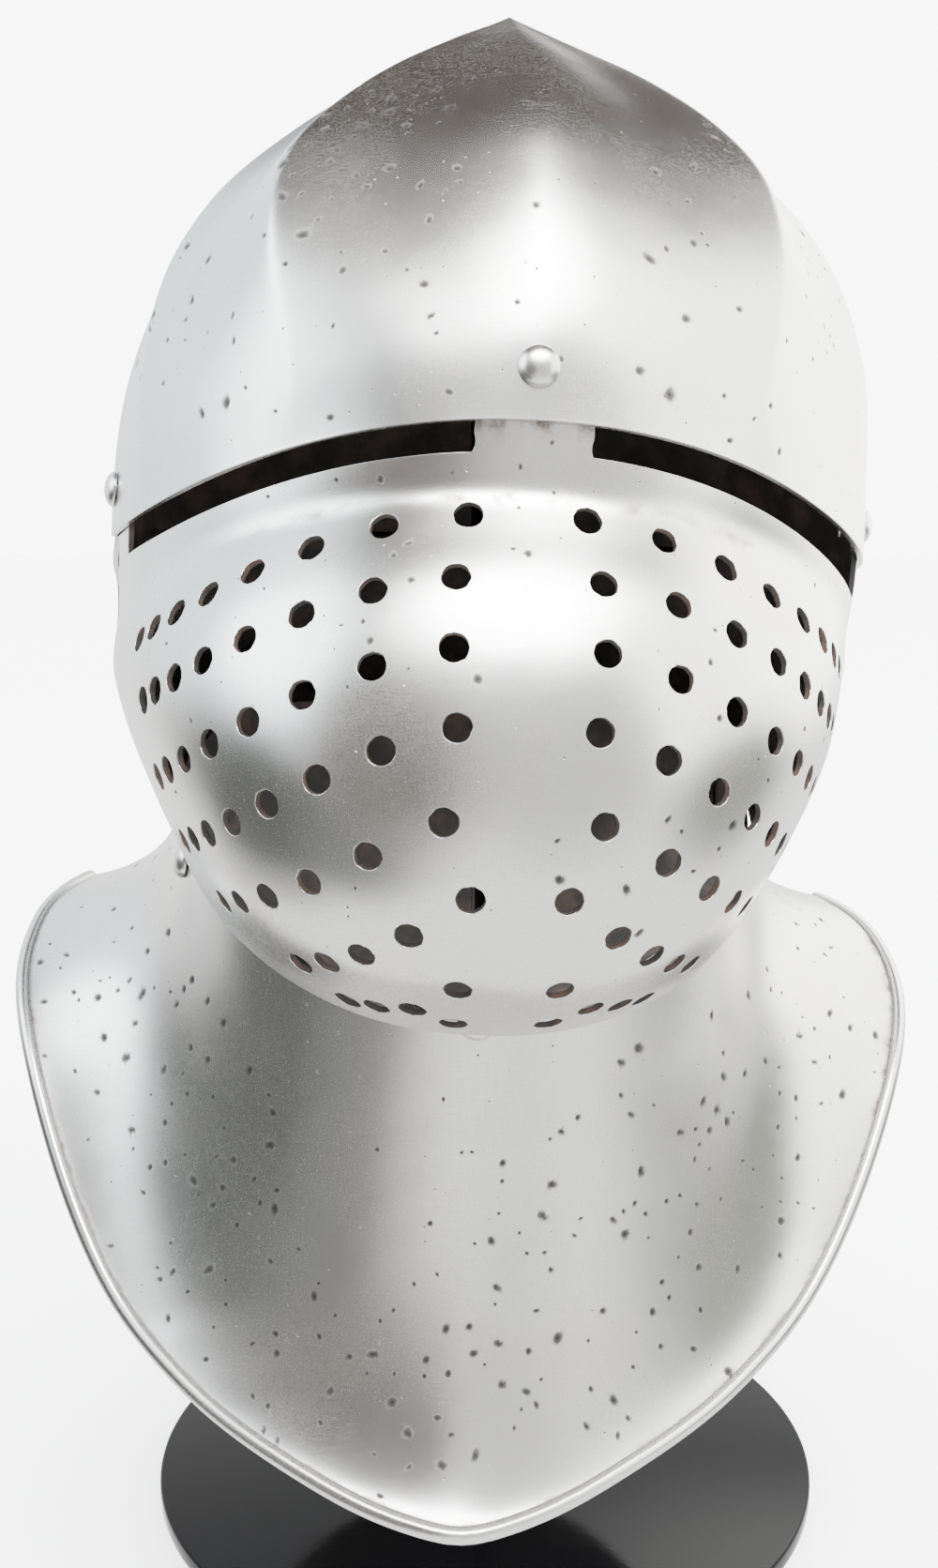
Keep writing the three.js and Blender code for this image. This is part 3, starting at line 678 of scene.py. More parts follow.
def node(tree, kind, inputs=None, **settings):
    made_node = tree.nodes.new(kind)
    for name, value in settings.items():
        setattr(made_node, name, value)
    feed(tree, made_node, inputs or {})
    return made_node


def maths(tree, operation, first, second=0.0, clamp=False):
    made_node = node(tree, "ShaderNodeMath", {0: first, 1: second}, operation=operation)
    made_node.use_clamp = clamp
    return made_node.outputs[0]


def times(tree, first, second):
    return maths(tree, "MULTIPLY", first, second)


def plus(tree, first, second):
    return maths(tree, "ADD", first, second)


def ranged(tree, value, low, high, to_low=0.0, to_high=1.0):
    inputs = {"Value": value, "From Min": low, "From Max": high, "To Min": to_low, "To Max": to_high}
    return node(tree, "ShaderNodeMapRange", inputs, interpolation_type="SMOOTHSTEP").outputs[0]


def blended(tree, share, first, second):
    return node(tree, "ShaderNodeMix", {0: share, 6: first, 7: second}, data_type="RGBA").outputs[2]


def new_material(name):
    material = bpy.data.materials.new(name)
    material.use_nodes = True
    tree = material.node_tree
    tree.nodes.clear()
    output = node(tree, "ShaderNodeOutputMaterial")
    shader = node(tree, "ShaderNodeBsdfPrincipled")
    tree.links.new(shader.outputs[0], output.inputs[0])
    return material, tree, shader


def millimetres(tree):
    """The place on the object in millimetres, so that every pattern has its real size."""
    where = node(tree, "ShaderNodeTexCoord").outputs["Object"]
    return node(tree, "ShaderNodeVectorMath", {0: where, "Scale": 1000}, operation="SCALE").outputs[0]


def noise(tree, where, size, detail=3.0, roughness=0.5, stretch=None, turn=None):
    """Noise whose main lumps are about a size in millimetres."""
    if stretch or turn:
        inputs = {"Vector": where, "Rotation": turn or (0, 0, 0), "Scale": stretch or (1, 1, 1)}
        where = node(tree, "ShaderNodeMapping", inputs).outputs[0]
    inputs = {"Vector": where, "Scale": 1 / size, "Detail": detail, "Roughness": roughness}
    return node(tree, "ShaderNodeTexNoise", inputs).outputs[0]


# %% [markdown]
# ## Bare steel
#
# The steel was ground and polished by hand, so it is bright but not a mirror. Fine scratches run in
# several directions, which spreads the reflections. Broad patches are duller than others, small pits
# are dark and rough, and thin brown stains stay where grease and rust sat longest. On the face plate
# the same brown is also painted shade along the step under the band, and a darker band on the bridge
# under the brow.

# %% Bare steel
def steel_material():
    material, tree, shader = new_material("satin_polished_steel")
    where = millimetres(tree)
    pit = node(tree, "ShaderNodeAttribute", attribute_name="pit").outputs["Fac"]
    stain_and_shade = node(tree, "ShaderNodeAttribute", attribute_name="stain_and_shade").outputs["Fac"]
    wear = node(tree, "ShaderNodeAttribute", attribute_name="pitting").outputs["Fac"]
    crease = node(tree, "ShaderNodeAttribute", attribute_name="crease").outputs["Fac"]

    scratch_a = noise(tree, where, 0.42, 2, 0.6, (0.03, 1, 1), (0.4, 0.3, 0.5))
    scratch_b = noise(tree, where, 0.5, 2, 0.6, (1, 0.03, 1), (0.2, 0.7, -0.4))
    scratch_c = noise(tree, where, 0.4, 2, 0.6, (1, 1, 0.035), (0.6, -0.3, 0.2))
    scratches = plus(tree, plus(tree, scratch_a, scratch_b), scratch_c)
    grain = noise(tree, where, 0.35, 3, 0.6)
    cloud = noise(tree, where, 34, 4, 0.55)
    haze = noise(tree, where, 9, 4, 0.6)

    speck_cells = node(tree, "ShaderNodeTexVoronoi", {"Vector": where, "Scale": 1 / 3.1}, feature="F1")
    speck_pick = node(tree, "ShaderNodeSeparateColor", {0: speck_cells.outputs["Color"]}).outputs[0]
    chosen = ranged(tree, plus(tree, speck_pick, times(tree, wear, 0.1)), 0.93, 0.97)
    speck = times(tree, ranged(tree, speck_cells.outputs["Distance"], 0.13, 0.05), chosen)
    dark = maths(tree, "MAXIMUM", pit, speck)

    film = times(tree, ranged(tree, cloud, 0.5, 0.72), 0.35)
    mottled = times(tree, ranged(tree, haze, 0.45, 0.65), stain_and_shade)
    colour = blended(tree, film, linear("#C6C5C3"), linear("#BEB7B0"))
    # Brown stains; on the face plate this brown is also painted shade along the step under the band.
    colour = blended(tree, times(tree, mottled, 0.85), colour, linear("#6E6159"))
    streaks = times(tree, ranged(tree, scratches, 1.5, 1.8), 0.14)
    colour = blended(tree, streaks, colour, linear("#8F8A86"))
    colour = blended(tree, times(tree, crease, 0.8), colour, linear("#5A4A46"))
    colour = blended(tree, dark, colour, linear("#2F2A27"))

    rough = plus(tree, 0.2, times(tree, cloud, 0.12))
    ground = maths(tree, "SUBTRACT", scratches, 1.5)
    rough = plus(tree, rough, times(tree, ground, 0.07))
    rough = plus(tree, rough, times(tree, dark, 0.35))
    rough = maths(tree, "ADD", rough, times(tree, mottled, 0.2), clamp=True)

    height = times(tree, scratches, 0.5)
    height = plus(tree, height, times(tree, grain, 0.35))
    fine = node(tree, "ShaderNodeBump", {"Height": height, "Distance": 0.000006, "Strength": 1.0})
    sunken = maths(tree, "SUBTRACT", 1.0, speck)
    inputs = {"Height": sunken, "Distance": 0.00012, "Normal": fine.outputs[0]}
    dents = node(tree, "ShaderNodeBump", inputs).outputs[0]
    feed(tree, shader, {"Base Color": colour, "Metallic": 1.0, "Roughness": rough, "Normal": dents})
    return material


steel = steel_material()

# %% [markdown]
# ## The steel inside
#
# Nobody polished the inside. It keeps the dark scale from the forge and a film of old rust, so it
# drinks the light and the holes read black.

# %% Forge scale
def scale_material():
    material, tree, shader = new_material("forge_scale_inside")
    where = millimetres(tree)
    rust = noise(tree, where, 16, 5, 0.65)
    grit = noise(tree, where, 1.6, 4, 0.6)
    colour = blended(tree, ranged(tree, rust, 0.42, 0.66), linear("#221F1D"), linear("#3D2E26"))
    bump = node(tree, "ShaderNodeBump", {"Height": grit, "Distance": 0.00008}).outputs[0]
    feed(tree, shader, {"Base Color": colour, "Metallic": 0.2, "Roughness": 0.72, "Normal": bump})
    return material


scale = scale_material()

# %% [markdown]
# ## Black lacquer
#
# The stand is a shop-made disc with a thick gloss coat. It mirrors the room, with a slight orange-peel
# ripple and a little dust.

# %% Black lacquer
def lacquer_material():
    material, tree, shader = new_material("gloss_black_lacquer")
    where = millimetres(tree)
    dust = noise(tree, where, 0.5, 4, 0.7)
    smear = noise(tree, where, 45, 4, 0.6)
    colour = blended(tree, ranged(tree, dust, 0.66, 0.74, 0, 0.12), linear("#070708"), linear("#8A8886"))
    rough = ranged(tree, smear, 0.3, 0.7, 0.05, 0.12)
    inputs = {"Height": noise(tree, where, 2.5, 2), "Distance": 0.00001}
    peel = node(tree, "ShaderNodeBump", inputs).outputs[0]
    inputs = {"Base Color": colour, "Roughness": rough, "Specular IOR Level": 0.08, "Normal": peel}
    feed(tree, shader, inputs)
    return material


lacquer = lacquer_material()

# %% [markdown]
# ## Where the steel is pitted
#
# Pits come in clusters where water once sat. Each row of the table is a cluster: its middle as a turn
# and a share on the plate, how far it spreads in millimetres, how many pits, and their sizes. The
# same random seed gives the same pits each time.

# %% Pit clusters
PIT_COLUMNS = "turn share reach count small large"
PIT_CLUSTERS = {
    "skull": table(
        PIT_COLUMNS,
        (-20, 0.62, 24, 50, 0.35, 1.0),
        (-27, 0.48, 22, 22, 0.4, 1.2),
        (-10, 0.22, 26, 17, 0.4, 1.1),
        (22, 0.6, 26, 17, 0.3, 0.9),
        (17, 0.24, 14, 8, 0.4, 1.2),
        (48, 0.45, 22, 25, 0.3, 0.9),
        (-52, 0.3, 24, 22, 0.3, 0.9),
        (-40, 0.08, 14, 7, 0.4, 1.1),
        (30, 0.1, 20, 7, 0.3, 0.8),
        (120, 0.3, 60, 34, 0.3, 1.0),
        (-130, 0.2, 60, 34, 0.3, 1.0),
        (165, 0.5, 50, 22, 0.3, 0.9),
    ),
    "face_plate": table(
        PIT_COLUMNS,
        (-18, 0.3, 22, 13, 0.3, 0.9),
        (-22, 0.1, 20, 8, 0.3, 0.7),
        (28, 0.62, 16, 8, 0.4, 1.1),
        (34, 0.3, 26, 11, 0.3, 0.8),
        (12, 0.72, 16, 6, 0.4, 1.0),
        (-45, 0.5, 36, 14, 0.3, 0.8),
        (0, 0.05, 16, 10, 0.3, 0.8),
        (60, 0.5, 36, 11, 0.3, 0.8),
    ),
    "gorget_front": table(
        PIT_COLUMNS,
        (-6, 0.74, 22, 36, 0.35, 1.1),
        (12, 0.62, 26, 36, 0.35, 1.1),
        (-42, 0.62, 26, 48, 0.35, 1.1),
        (-62, 0.6, 28, 34, 0.35, 1.1),
        (-30, 0.88, 20, 14, 0.35, 1.1),
        (40, 0.5, 28, 42, 0.35, 1.1),
        (58, 0.72, 24, 34, 0.35, 1.0),
        (26, 0.84, 22, 17, 0.35, 1.1),
        (2, 0.3, 28, 17, 0.35, 1.0),
        (80, 0.7, 34, 34, 0.3, 0.9),
        (-84, 0.7, 34, 34, 0.3, 0.9),
        (-14, 0.95, 18, 8, 0.4, 1.0),
    ),
    "gorget_back": table(
        PIT_COLUMNS,
        (140, 0.6, 40, 34, 0.3, 1.0),
        (-145, 0.5, 40, 34, 0.3, 1.0),
    ),
}


PIT_SEEDS = {"skull": 11, "face_plate": 12, "gorget_front": 13, "gorget_back": 14}
WAVE_SEEDS = {"skull": 21, "face_plate": 22, "gorget_front": 23, "gorget_back": 24}
PIT_GROWTH = 1.9
PIT_SPREAD = 0.8
PIT_DEEPEST = 0.6
PIT_CLEARANCE = 1.75
MARKS = ("pit", "stain_and_shade", "pitting", "inner", "crease")


def no_marks(points):
    return {mark: np.zeros(len(points)) for mark in MARKS}


def scatter(name, surface, keep, spacing=1.7):
    """Pit places on a chart, each with a radius, a stretch and a twist, none overlapping."""
    random = np.random.default_rng(PIT_SEEDS[name])
    pits = []
    for cluster in PIT_CLUSTERS[name]:
        centre = np.array([[cluster["turn"] * degree, cluster["share"]]])
        to_chart, _ = spots(surface, centre)
        for _ in range(cluster["count"]):
            offset = random.normal(size=2) * cluster["reach"] * PIT_SPREAD
            place = centre[0] + to_chart[0] @ offset
            growth = (cluster["large"] - cluster["small"]) * random.random() ** 1.8
            size = PIT_GROWTH * (cluster["small"] + growth)
            shape = (1 + 0.35 * random.random(), random.uniform(0, np.pi), random.uniform(0.8, 1.2, 10))
            if not keep(place):
                continue
            here = surface(place[:1], place[1:])[0]
            if all(np.linalg.norm(here - p["here"]) > spacing * (size + p["size"]) for p in pits):
                pits.append({"place": place, "size": size, "shape": shape, "here": here})
    return pits


def with_pits(grid, surface, pits):
    """Adds the pits' rings to a chart. Returns points, how deep each sits (mm) and how dark it is."""
    places = np.array([p["place"] for p in pits])
    to_chart, jacobians = spots(surface, places)
    keep = np.ones(len(grid), bool)
    rings = []
    depths = []
    darks = []
    for pit, chart, jacobian in zip(pits, to_chart, jacobians):
        keep &= clear_of(grid, pit["place"], jacobian, pit["size"] * PIT_CLEARANCE)
        stretch, twist, rough = pit["shape"]
        for row in PIT_RINGS:
            sides = row["sides"]
            size = row["reach"] * pit["size"]
            rings.append(ring(pit["place"], chart, size, sides, stretch, twist, rough[:sides]))
            depths += [row["depth"] * min(PIT_DEEPEST, 0.5 * pit["size"])] * sides
            darks += [row["depth"]] * sides
    points = np.concatenate([grid[keep]] + rings)
    depth = np.concatenate([np.zeros(keep.sum()), depths])
    dark = np.concatenate([np.zeros(keep.sum()), darks])
    return points, depth, dark


def bent(surface, chart, low, high, waves):
    """Bends a chart onto its surface with the hammered wobble."""
    turn, share = chart[:, 0], chart[:, 1]
    points = surface(turn, share)
    normals = surface_normals(surface, turn, share, low, high)
    normals[np.linalg.norm(normals, axis=1) < 0.5] = (0, 0, 1)
    height, slope = wobble(points, waves)
    points = points + normals * height[:, None]
    across = slope - np.sum(slope * normals, axis=1)[:, None] * normals
    return points, unit(normals - across)


def sheet(name, surface, chart, triangles, depth, dark, low=-1, sunk=0.0, bevel=0.3, dark_cuts=False):
    """A finished plate: points, normals, triangles and marks for the shader."""
    points, normals = bent(surface, chart, low, 1, wave_set(WAVE_SEEDS[name]))
    first, triangles = weld(points, triangles)
    points, normals, depth, dark = points[first], normals[first], depth[first], dark[first]
    triangles = turned_out(points, normals, triangles)
    points = points - normals * sunk
    count = len(points)
    solid, facing, faces = thicken(points, normals, triangles, bevel=bevel)
    solid[:count] -= normals * depth[:, None]
    marks = no_marks(solid)
    marks["pitting"] += 1
    marks["pit"][:count] = dark
    marks["inner"][count : None if dark_cuts else 2 * count] = 1
    return solid, facing, faces, marks, first


# %% [markdown]
# ## The skull
#
# The bowl was raised from one sheet. Its ridges are creased up from inside and the hollows between
# them are worked down, so it glances light in bands. The plate runs on behind the ears to the nape.
# Columns of points crowd together at each ridge, where the surface bends fastest.

# %% Skull
RIDGE_OFFSETS = [0, 0.5, 1.0, 1.6, 2.4, 3.4, 4.6, 6.0, 7.5, 9.0, 10.8, 12.8, 15.0]
RIVET_RISE = 14.0
APEX_CAP = 1.5


def skull_turns():
    turns = set()
    for k in range(-6, 7):
        for offset in RIDGE_OFFSETS:
            for side in (-1, 1):
                turn = round(30 * k + side * offset, 3)
                if -180 <= turn <= 180:
                    turns.add(turn)
    return np.array(sorted(turns)) * degree


def build_skull():
    turns = skull_turns()
    rises = np.concatenate([np.linspace(0, 0.1, 10), np.linspace(0.112, 0.99, 92), [0.995, 1.0]])
    napes = -np.linspace(0, 1, 46)[1:]
    bowl = np.array([(t, r) for t in turns for r in rises])
    behind = turns[np.abs(turns) >= 90 * degree - 1e-9]
    nape = np.array([(t, r) for t in behind for r in napes])
    grid = np.concatenate([bowl, nape])

    def keep(place):
        if not -175 * degree < place[0] < 175 * degree:
            return False
        return 0.03 < place[1] < 0.9 or (place[1] < -0.05 and abs(place[0]) > 100 * degree)

    pits = scatter("skull", skull_point, keep)
    chart, depth, dark = with_pits(grid, skull_point, pits)
    triangles = triangulate(chart)
    middle = chart[triangles].mean(axis=1)
    inside = (middle[:, 1] > 0) | (np.abs(middle[:, 0]) > 90 * degree)
    triangles = triangles[inside]
    solid, facing, faces, marks, _ = sheet("skull", skull_point, chart, triangles, depth, dark)
    apex = np.linalg.norm(solid - [0, temple_setback + apex_setback, apex_height], axis=1) < APEX_CAP
    facing[apex] = np.where(facing[apex][:, 2:] >= 0, 1, -1) * np.array([0, 0, 1])
    return solid, facing, faces, marks


skull = make_plate("skull_plate", build_skull())
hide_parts("skull")

# %% [markdown]
# ## The face plate
#
# The plate is sunk from one sheet into a deep bowl, with a plain band at the top that slides under the
# skull. The sights are sawn out between that band and the brow, and the breaths are drilled in rows
# that follow the plate down. Each hole is a ring in the chart, so it is cut square to the plate.

# %% Face plate
# Millimetres on the plate for one step of its chart, near enough for clearances
CHART_SIZE = np.array([125, 170])
BREATH_SIDES = 24
BREATH_CLEARANCE = 0.9
SIGHT_CLEARANCE = 0.6
PIT_TO_BREATH = 6.2
PIT_TO_SIGHT = 2.6


def breath_places():
    places = []
    turns = np.arange(0, face_plate_end + 1) * degree
    for row in BREATH_ROWS:
        line = head_form(turns, np.full_like(turns, row["drop"]))
        arcs = np.concatenate([[0], np.cumsum(np.linalg.norm(np.diff(line, axis=0), axis=1))])
        shift = -breath_row_lean * bulge_lean * smoothstep(0.1, 0.35, row["drop"])
        for k in range(row["count"]):
            arc = row["first"] + k * row["pitch"] - k * k * row["taper"]
            drop = row["drop"] + row["fall"] * ((arc - row["first"]) / 100) ** row["bow"]
            for side in (-1, 1):
                turn = side * np.interp(arc + side * shift, arcs, turns)
                places.append((turn, drop))
    return np.array(places)


def sight_loop(side, steps=70):
    """The outline of one sight on the chart, with barely rounded corners."""
    inner = np.arcsin(sight_inner_x / face_half_width)
    share = np.linspace(0, 1, steps)
    turn = side * (inner + (sight_outer_turn * degree - inner) * share)
    deeper = sight_extra_drop * share**2 if side > 0 else 0
    lower = (sight_height + deeper) * band_height / band_at(turn) / face_depth
    upper = np.full_like(turn, -sight_rise_under_brow / flange_height)
    rows = np.linspace(0, 1, 7)[1:-1]
    outer_end = [(turn[-1], lower[-1] + (upper[-1] - lower[-1]) * r) for r in rows]
    inner_end = [(turn[0], upper[0] + (lower[0] - upper[0]) * r) for r in rows]
    bottom = list(zip(turn, lower))
    top = list(zip(turn[::-1], upper[::-1]))
    return np.array(bottom + outer_end + top + inner_end)


def inside_loop(points, loop):
    inside = np.zeros(len(points), bool)
    x, y = points[:, 0], points[:, 1]
    for (x1, y1), (x2, y2) in zip(loop, np.roll(loop, -1, axis=0)):
        crosses = (y1 > y) != (y2 > y)
        if y1 != y2:
            inside ^= crosses & (x < (x2 - x1) * (y - y1) / (y2 - y1) + x1)
    return inside


def build_face_plate():
    turns = np.arange(-face_plate_end, face_plate_end + 0.01, 0.9375) * degree
    downs = [np.linspace(-1, 0, 13)[:-1], np.linspace(0, 0.1, 11)[:-1]]
    downs += [np.linspace(0.1, 0.17, 14)[:-1], np.linspace(0.17, 1, 72)]
    grid = np.array([(t, d) for t in turns for d in np.concatenate(downs)])
    breaths = breath_places()
    to_chart, jacobians = spots(face_point, breaths)
    random = np.random.default_rng(5)
    radius = breath_diameter / 2
    keep = np.ones(len(grid), bool)
    loops = []
    for place, chart, jacobian in zip(breaths, to_chart, jacobians):
        keep &= clear_of(grid, place, jacobian, radius + BREATH_CLEARANCE)
        rough = 1 + 0.02 * random.normal(size=BREATH_SIDES)
        size = radius * random.uniform(0.97, 1.03)
        loops.append(ring(place, chart, size, BREATH_SIDES, rough=rough))
    sights = [sight_loop(-1), sight_loop(1)]
    for loop in sights:
        near = (grid > loop.min(0) - 0.006).all(1) & (grid < loop.max(0) + 0.006).all(1)
        where = np.where(near)[0]
        offset = (grid[where][:, None, :] - loop[None, :, :]) * CHART_SIZE
        touching = inside_loop(grid, loop)
        touching[where] |= np.sqrt((offset**2).sum(-1)).min(1) <= SIGHT_CLEARANCE
        keep &= ~touching
        loops.append(loop)
    grid = grid[keep]

    def close(points, place, distance):
        return ((((points - place) * CHART_SIZE) ** 2).sum(1) < distance**2).any()

    def clear(place):
        if close(breaths, place, PIT_TO_BREATH) or abs(place[0]) > 100 * degree:
            return False
        for loop in sights:
            if close(loop, place, PIT_TO_SIGHT) or inside_loop(np.array([place]), loop)[0]:
                return False
        return 0.012 < place[1] < 0.97

    pits = scatter("face_plate", face_point, clear)
    chart, depth, dark = with_pits(grid, face_point, pits)
    extra = np.concatenate(loops)
    chart = np.concatenate([chart, extra])
    depth = np.concatenate([depth, np.zeros(len(extra))])
    dark = np.concatenate([dark, np.zeros(len(extra))])
    triangles = triangulate(chart)
    middle = chart[triangles].mean(axis=1)
    solid_here = np.ones(len(triangles), bool)
    for loop in loops:
        near = np.where((middle > loop.min(0)).all(1) & (middle < loop.max(0)).all(1))[0]
        solid_here[near[inside_loop(middle[near], loop)]] = False
    triangles = triangles[solid_here]
    body = sheet("face_plate", face_point, chart, triangles, depth, dark, bevel=0.22, dark_cuts=True)
    solid, facing, faces, marks, first = body
    turn, down = np.abs(chart[first]).T / [[degree], [1]]
    # Brown marks on the face plate: a darker band on the bridge just under the brow, and painted shade
    # along the dark line at the step at the foot of the band.
    at_bridge = np.exp(-(((down - 0.004) / 0.02) ** 2)) * smoothstep(30, 8, turn)
    painted_step_shade = np.exp(-(((down - 0.118) / 0.01) ** 2)) * smoothstep(55, 12, turn)
    marks["stain_and_shade"][: len(first)] = 1.2 * at_bridge + 0.9 * painted_step_shade
    return solid, facing, faces, marks


face = make_plate("pierced_face_plate", build_face_plate())
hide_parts("face_plate")

# %% [markdown]
# ## The gorget
#
# Front and back are two plates. Each is a collar inside the plates above that sweeps out over the
# shoulders and chest. Its edge is turned over a wire into a roll, which stiffens it and would catch a
# point sliding down. Rust has kept to the crease beside the roll.

# %% Gorget plates
def bar_along(path, normals, radius, sides=14):
    """A round bar along a path, with domed ends."""
    tangents = unit(np.gradient(path, axis=0))
    first = unit(normals - np.sum(normals * tangents, axis=1)[:, None] * tangents)
    second = np.cross(tangents, first)
    points = []
    facing = []
    sizes = [(0, -1.0, 0.02), (0, -0.8, 0.6), (0, -0.45, 0.9)]
    sizes += [(k, 0.0, 1.0) for k in range(len(path))]
    sizes += [(len(path) - 1, 0.45, 0.9), (len(path) - 1, 0.8, 0.6), (len(path) - 1, 1.0, 0.02)]
    angle = np.arange(sides) * 2 * np.pi / sides
    for k, ahead, size in sizes:
        round_here = np.cos(angle)[:, None] * first[k] + np.sin(angle)[:, None] * second[k]
        points.append(path[k] + tangents[k] * ahead * radius + round_here * radius * size)
        facing.append(unit(round_here * size + tangents[k] * ahead))
    triangles = []
    for i in range(len(sizes) - 1):
        for j in range(sides):
            a = i * sides + j
            b = i * sides + (j + 1) % sides
            triangles += [(a, b, b + sides), (a, b + sides, a + sides)]
    last = (len(sizes) - 1) * sides
    for j in range(1, sides - 1):
        triangles += [(0, j + 1, j), (last, last + j, last + j + 1)]
    return np.concatenate(points), np.concatenate(facing), np.array(triangles)


def joined(parts):
    """Puts several closed shells into one list of points, normals, triangles and marks."""
    offset = 0
    points, facing, triangles, marks = [], [], [], {}
    for part_points, part_facing, part_triangles, part_marks in parts:
        points.append(part_points)
        facing.append(part_facing)
        triangles.append(part_triangles + offset)
        offset += len(part_points)
        for mark in MARKS:
            marks.setdefault(mark, []).append(part_marks[mark])
    marks = {mark: np.concatenate(values) for mark, values in marks.items()}
    return np.concatenate(points), np.concatenate(facing), np.concatenate(triangles), marks


def build_gorget(name, from_turn, to_turn, roll_from, roll_to, sunk):
    turns = np.arange(from_turn, to_turn + 0.01, 1.0) * degree
    turns[-1] = to_turn * degree
    outs = [np.linspace(0, 0.1, 8)[:-1], np.linspace(0.1, 0.955, 66), np.linspace(0.96, 1, 12)]

    def surface(turn, out):
        around = np.where(turn > np.pi, turn - 2 * np.pi, turn)
        return gorget_point(around, out)

    grid = np.array([(t, o) for t in turns for o in np.concatenate(outs)])

    def keep(place):
        return from_turn + 3 < place[0] / degree < to_turn - 3 and 0.18 < place[1] < 0.965

    for cluster in PIT_CLUSTERS[name]:
        if cluster["turn"] < from_turn:
            cluster["turn"] += 360
    pits = scatter(name, surface, keep)
    chart, depth, dark = with_pits(grid, surface, pits)
    if roll_from > from_turn:
        short = (chart[:, 0] < (roll_from - 3) * degree) | (chart[:, 0] > (roll_to + 3) * degree)
        chart[:, 1] = np.where(short, chart[:, 1] * 0.92, chart[:, 1])
    triangles = triangulate(chart)
    body = sheet(name, surface, chart, triangles, depth, dark, low=0, sunk=sunk)
    solid, facing, faces, marks, first = body
    rim_out = chart[first][:, 1]
    edge = smoothstep(0.955, 0.985, rim_out)
    marks["stain_and_shade"][: len(rim_out)] = 1.4 * edge
    marks["crease"][: len(rim_out)] = smoothstep(0.969, 0.984, rim_out)
    steps = np.linspace(roll_from, roll_to, int((roll_to - roll_from) / 1.5) + 1) * degree
    ones = np.ones_like(steps)
    rim = surface(steps, ones)
    rim_facing = surface_normals(surface, steps, ones, 0, 1)
    path = rim - rim_facing * (sunk + plate / 2)
    roll = bar_along(path, rim_facing, roll_diameter / 2)
    roll_faces = turned_out(*roll)
    return joined([(solid, facing, faces, marks), (roll[0], roll[1], roll_faces, no_marks(roll[0]))])


front_parts = build_gorget("gorget_front", -105, 105, -105, 105, 0.0)
gorget_front = make_plate("gorget_front_plate", front_parts)
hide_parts("gorget_front")
back_depth = plate + gorget_lap_gaps * gap
back_parts = build_gorget("gorget_back", 97.5, 262.5, 112.5, 247.5, back_depth)
gorget_back = make_plate("gorget_back_plate", back_parts)
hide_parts("gorget_back")

# %% [markdown]
# ## Rivets
#
# Each rivet is a shank through both plates, set from inside over a peened end, with a low domed head
# outside. The heads were filed round and polished with the plates.

# %% Rivets
rivet_head = 5.75
rivet_head_height = 3.4
rivet_shank = 2.5
rivet_peen = 4.0
rivet_peen_height = 1.2
brow_grip = 2 * plate + 4 * gap + flange_ease
neck_lift = gap + 0.5


def turned(profile, sides=40):
    """A closed turned piece from (radius, height) pairs, sharp where a pair is repeated."""
    profile = np.array(profile, float)
    angle = np.arange(sides) * 2 * np.pi / sides
    steps = np.diff(profile, axis=0)
    slopes = np.stack([steps[:, 1], -steps[:, 0]], -1)
    lengths = np.linalg.norm(slopes, axis=1)
    slopes[lengths > 0] /= lengths[lengths > 0][:, None]
    points, facing, triangles = [], [], []
    for k in range(len(steps)):
        if lengths[k] == 0:
            continue
        before = slopes[k - 1] if k > 0 and lengths[k - 1] > 0 else slopes[k]
        after = slopes[k + 1] if k + 1 < len(steps) and lengths[k + 1] > 0 else slopes[k]
        start = len(points) * sides
        ends = ((profile[k], slopes[k] + before), (profile[k + 1], slopes[k] + after))
        for (radius, height), normal in ends:
            normal = normal / (np.linalg.norm(normal) + 1e-12)
            round_here = np.stack([np.cos(angle), np.sin(angle)], -1)
            points.append(np.column_stack([round_here * radius, np.full(sides, height)]))
            facing.append(np.column_stack([round_here * normal[0], np.full(sides, normal[1])]))
        for j in range(sides):
            a, b = start + j, start + (j + 1) % sides
            triangles += [(a, b, b + sides), (a, b + sides, a + sides)]
    points = np.concatenate(points)
    facing = np.concatenate(facing)
    triangles = np.array(triangles)
    corners = points[triangles]
    area = np.linalg.norm(np.cross(corners[:, 1] - corners[:, 0], corners[:, 2] - corners[:, 0]), axis=1)
    triangles = triangles[area > 1e-9]
    return points, facing, turned_out(points, facing, triangles)


def rivet_seat(surface, turn, share, low, high):
    turn, share = np.array([turn * degree]), np.array([share])
    return surface(turn, share)[0], surface_normals(surface, turn, share, low, high)[0]


def skull_seat(turn):
    rise = RIVET_RISE / (apex_height - brow_height(turn * degree))
    return rivet_seat(skull_point, turn, rise, 0, 1)


RIVETS = {
    "brow_rivet": (*skull_seat(0), brow_grip, gap),
    "temple_rivet_left": (*skull_seat(-78), brow_grip, gap),
    "temple_rivet_right": (*skull_seat(78), brow_grip, gap),
    "neck_rivet_front": (*rivet_seat(gorget_point, -1, 0.05, 0, 1), plate, neck_lift),
    "neck_rivet_left": (*rivet_seat(gorget_point, -70, 0.16, 0, 1), plate, neck_lift),
    "neck_rivet_right": (*rivet_seat(gorget_point, 70, 0.16, 0, 1), plate, neck_lift),
}


def rivet_profile(grip, lift):
    inside = -grip - gap
    foot = inside - rivet_peen_height
    profile = [(0, foot), (rivet_peen - 0.3, foot), (rivet_peen, foot + 0.3)]
    profile += [(rivet_peen, inside), (rivet_peen, inside)]
    profile += [(rivet_shank, inside), (rivet_shank, inside), (rivet_shank, lift), (rivet_shank, lift)]
    profile += [(rivet_head - 0.2, lift)]
    for angle in np.linspace(4, 90, 12) * degree:
        profile.append((rivet_head * np.cos(angle), lift + rivet_head_height * np.sin(angle)))
    profile[-1] = (0, lift + rivet_head_height)
    return profile


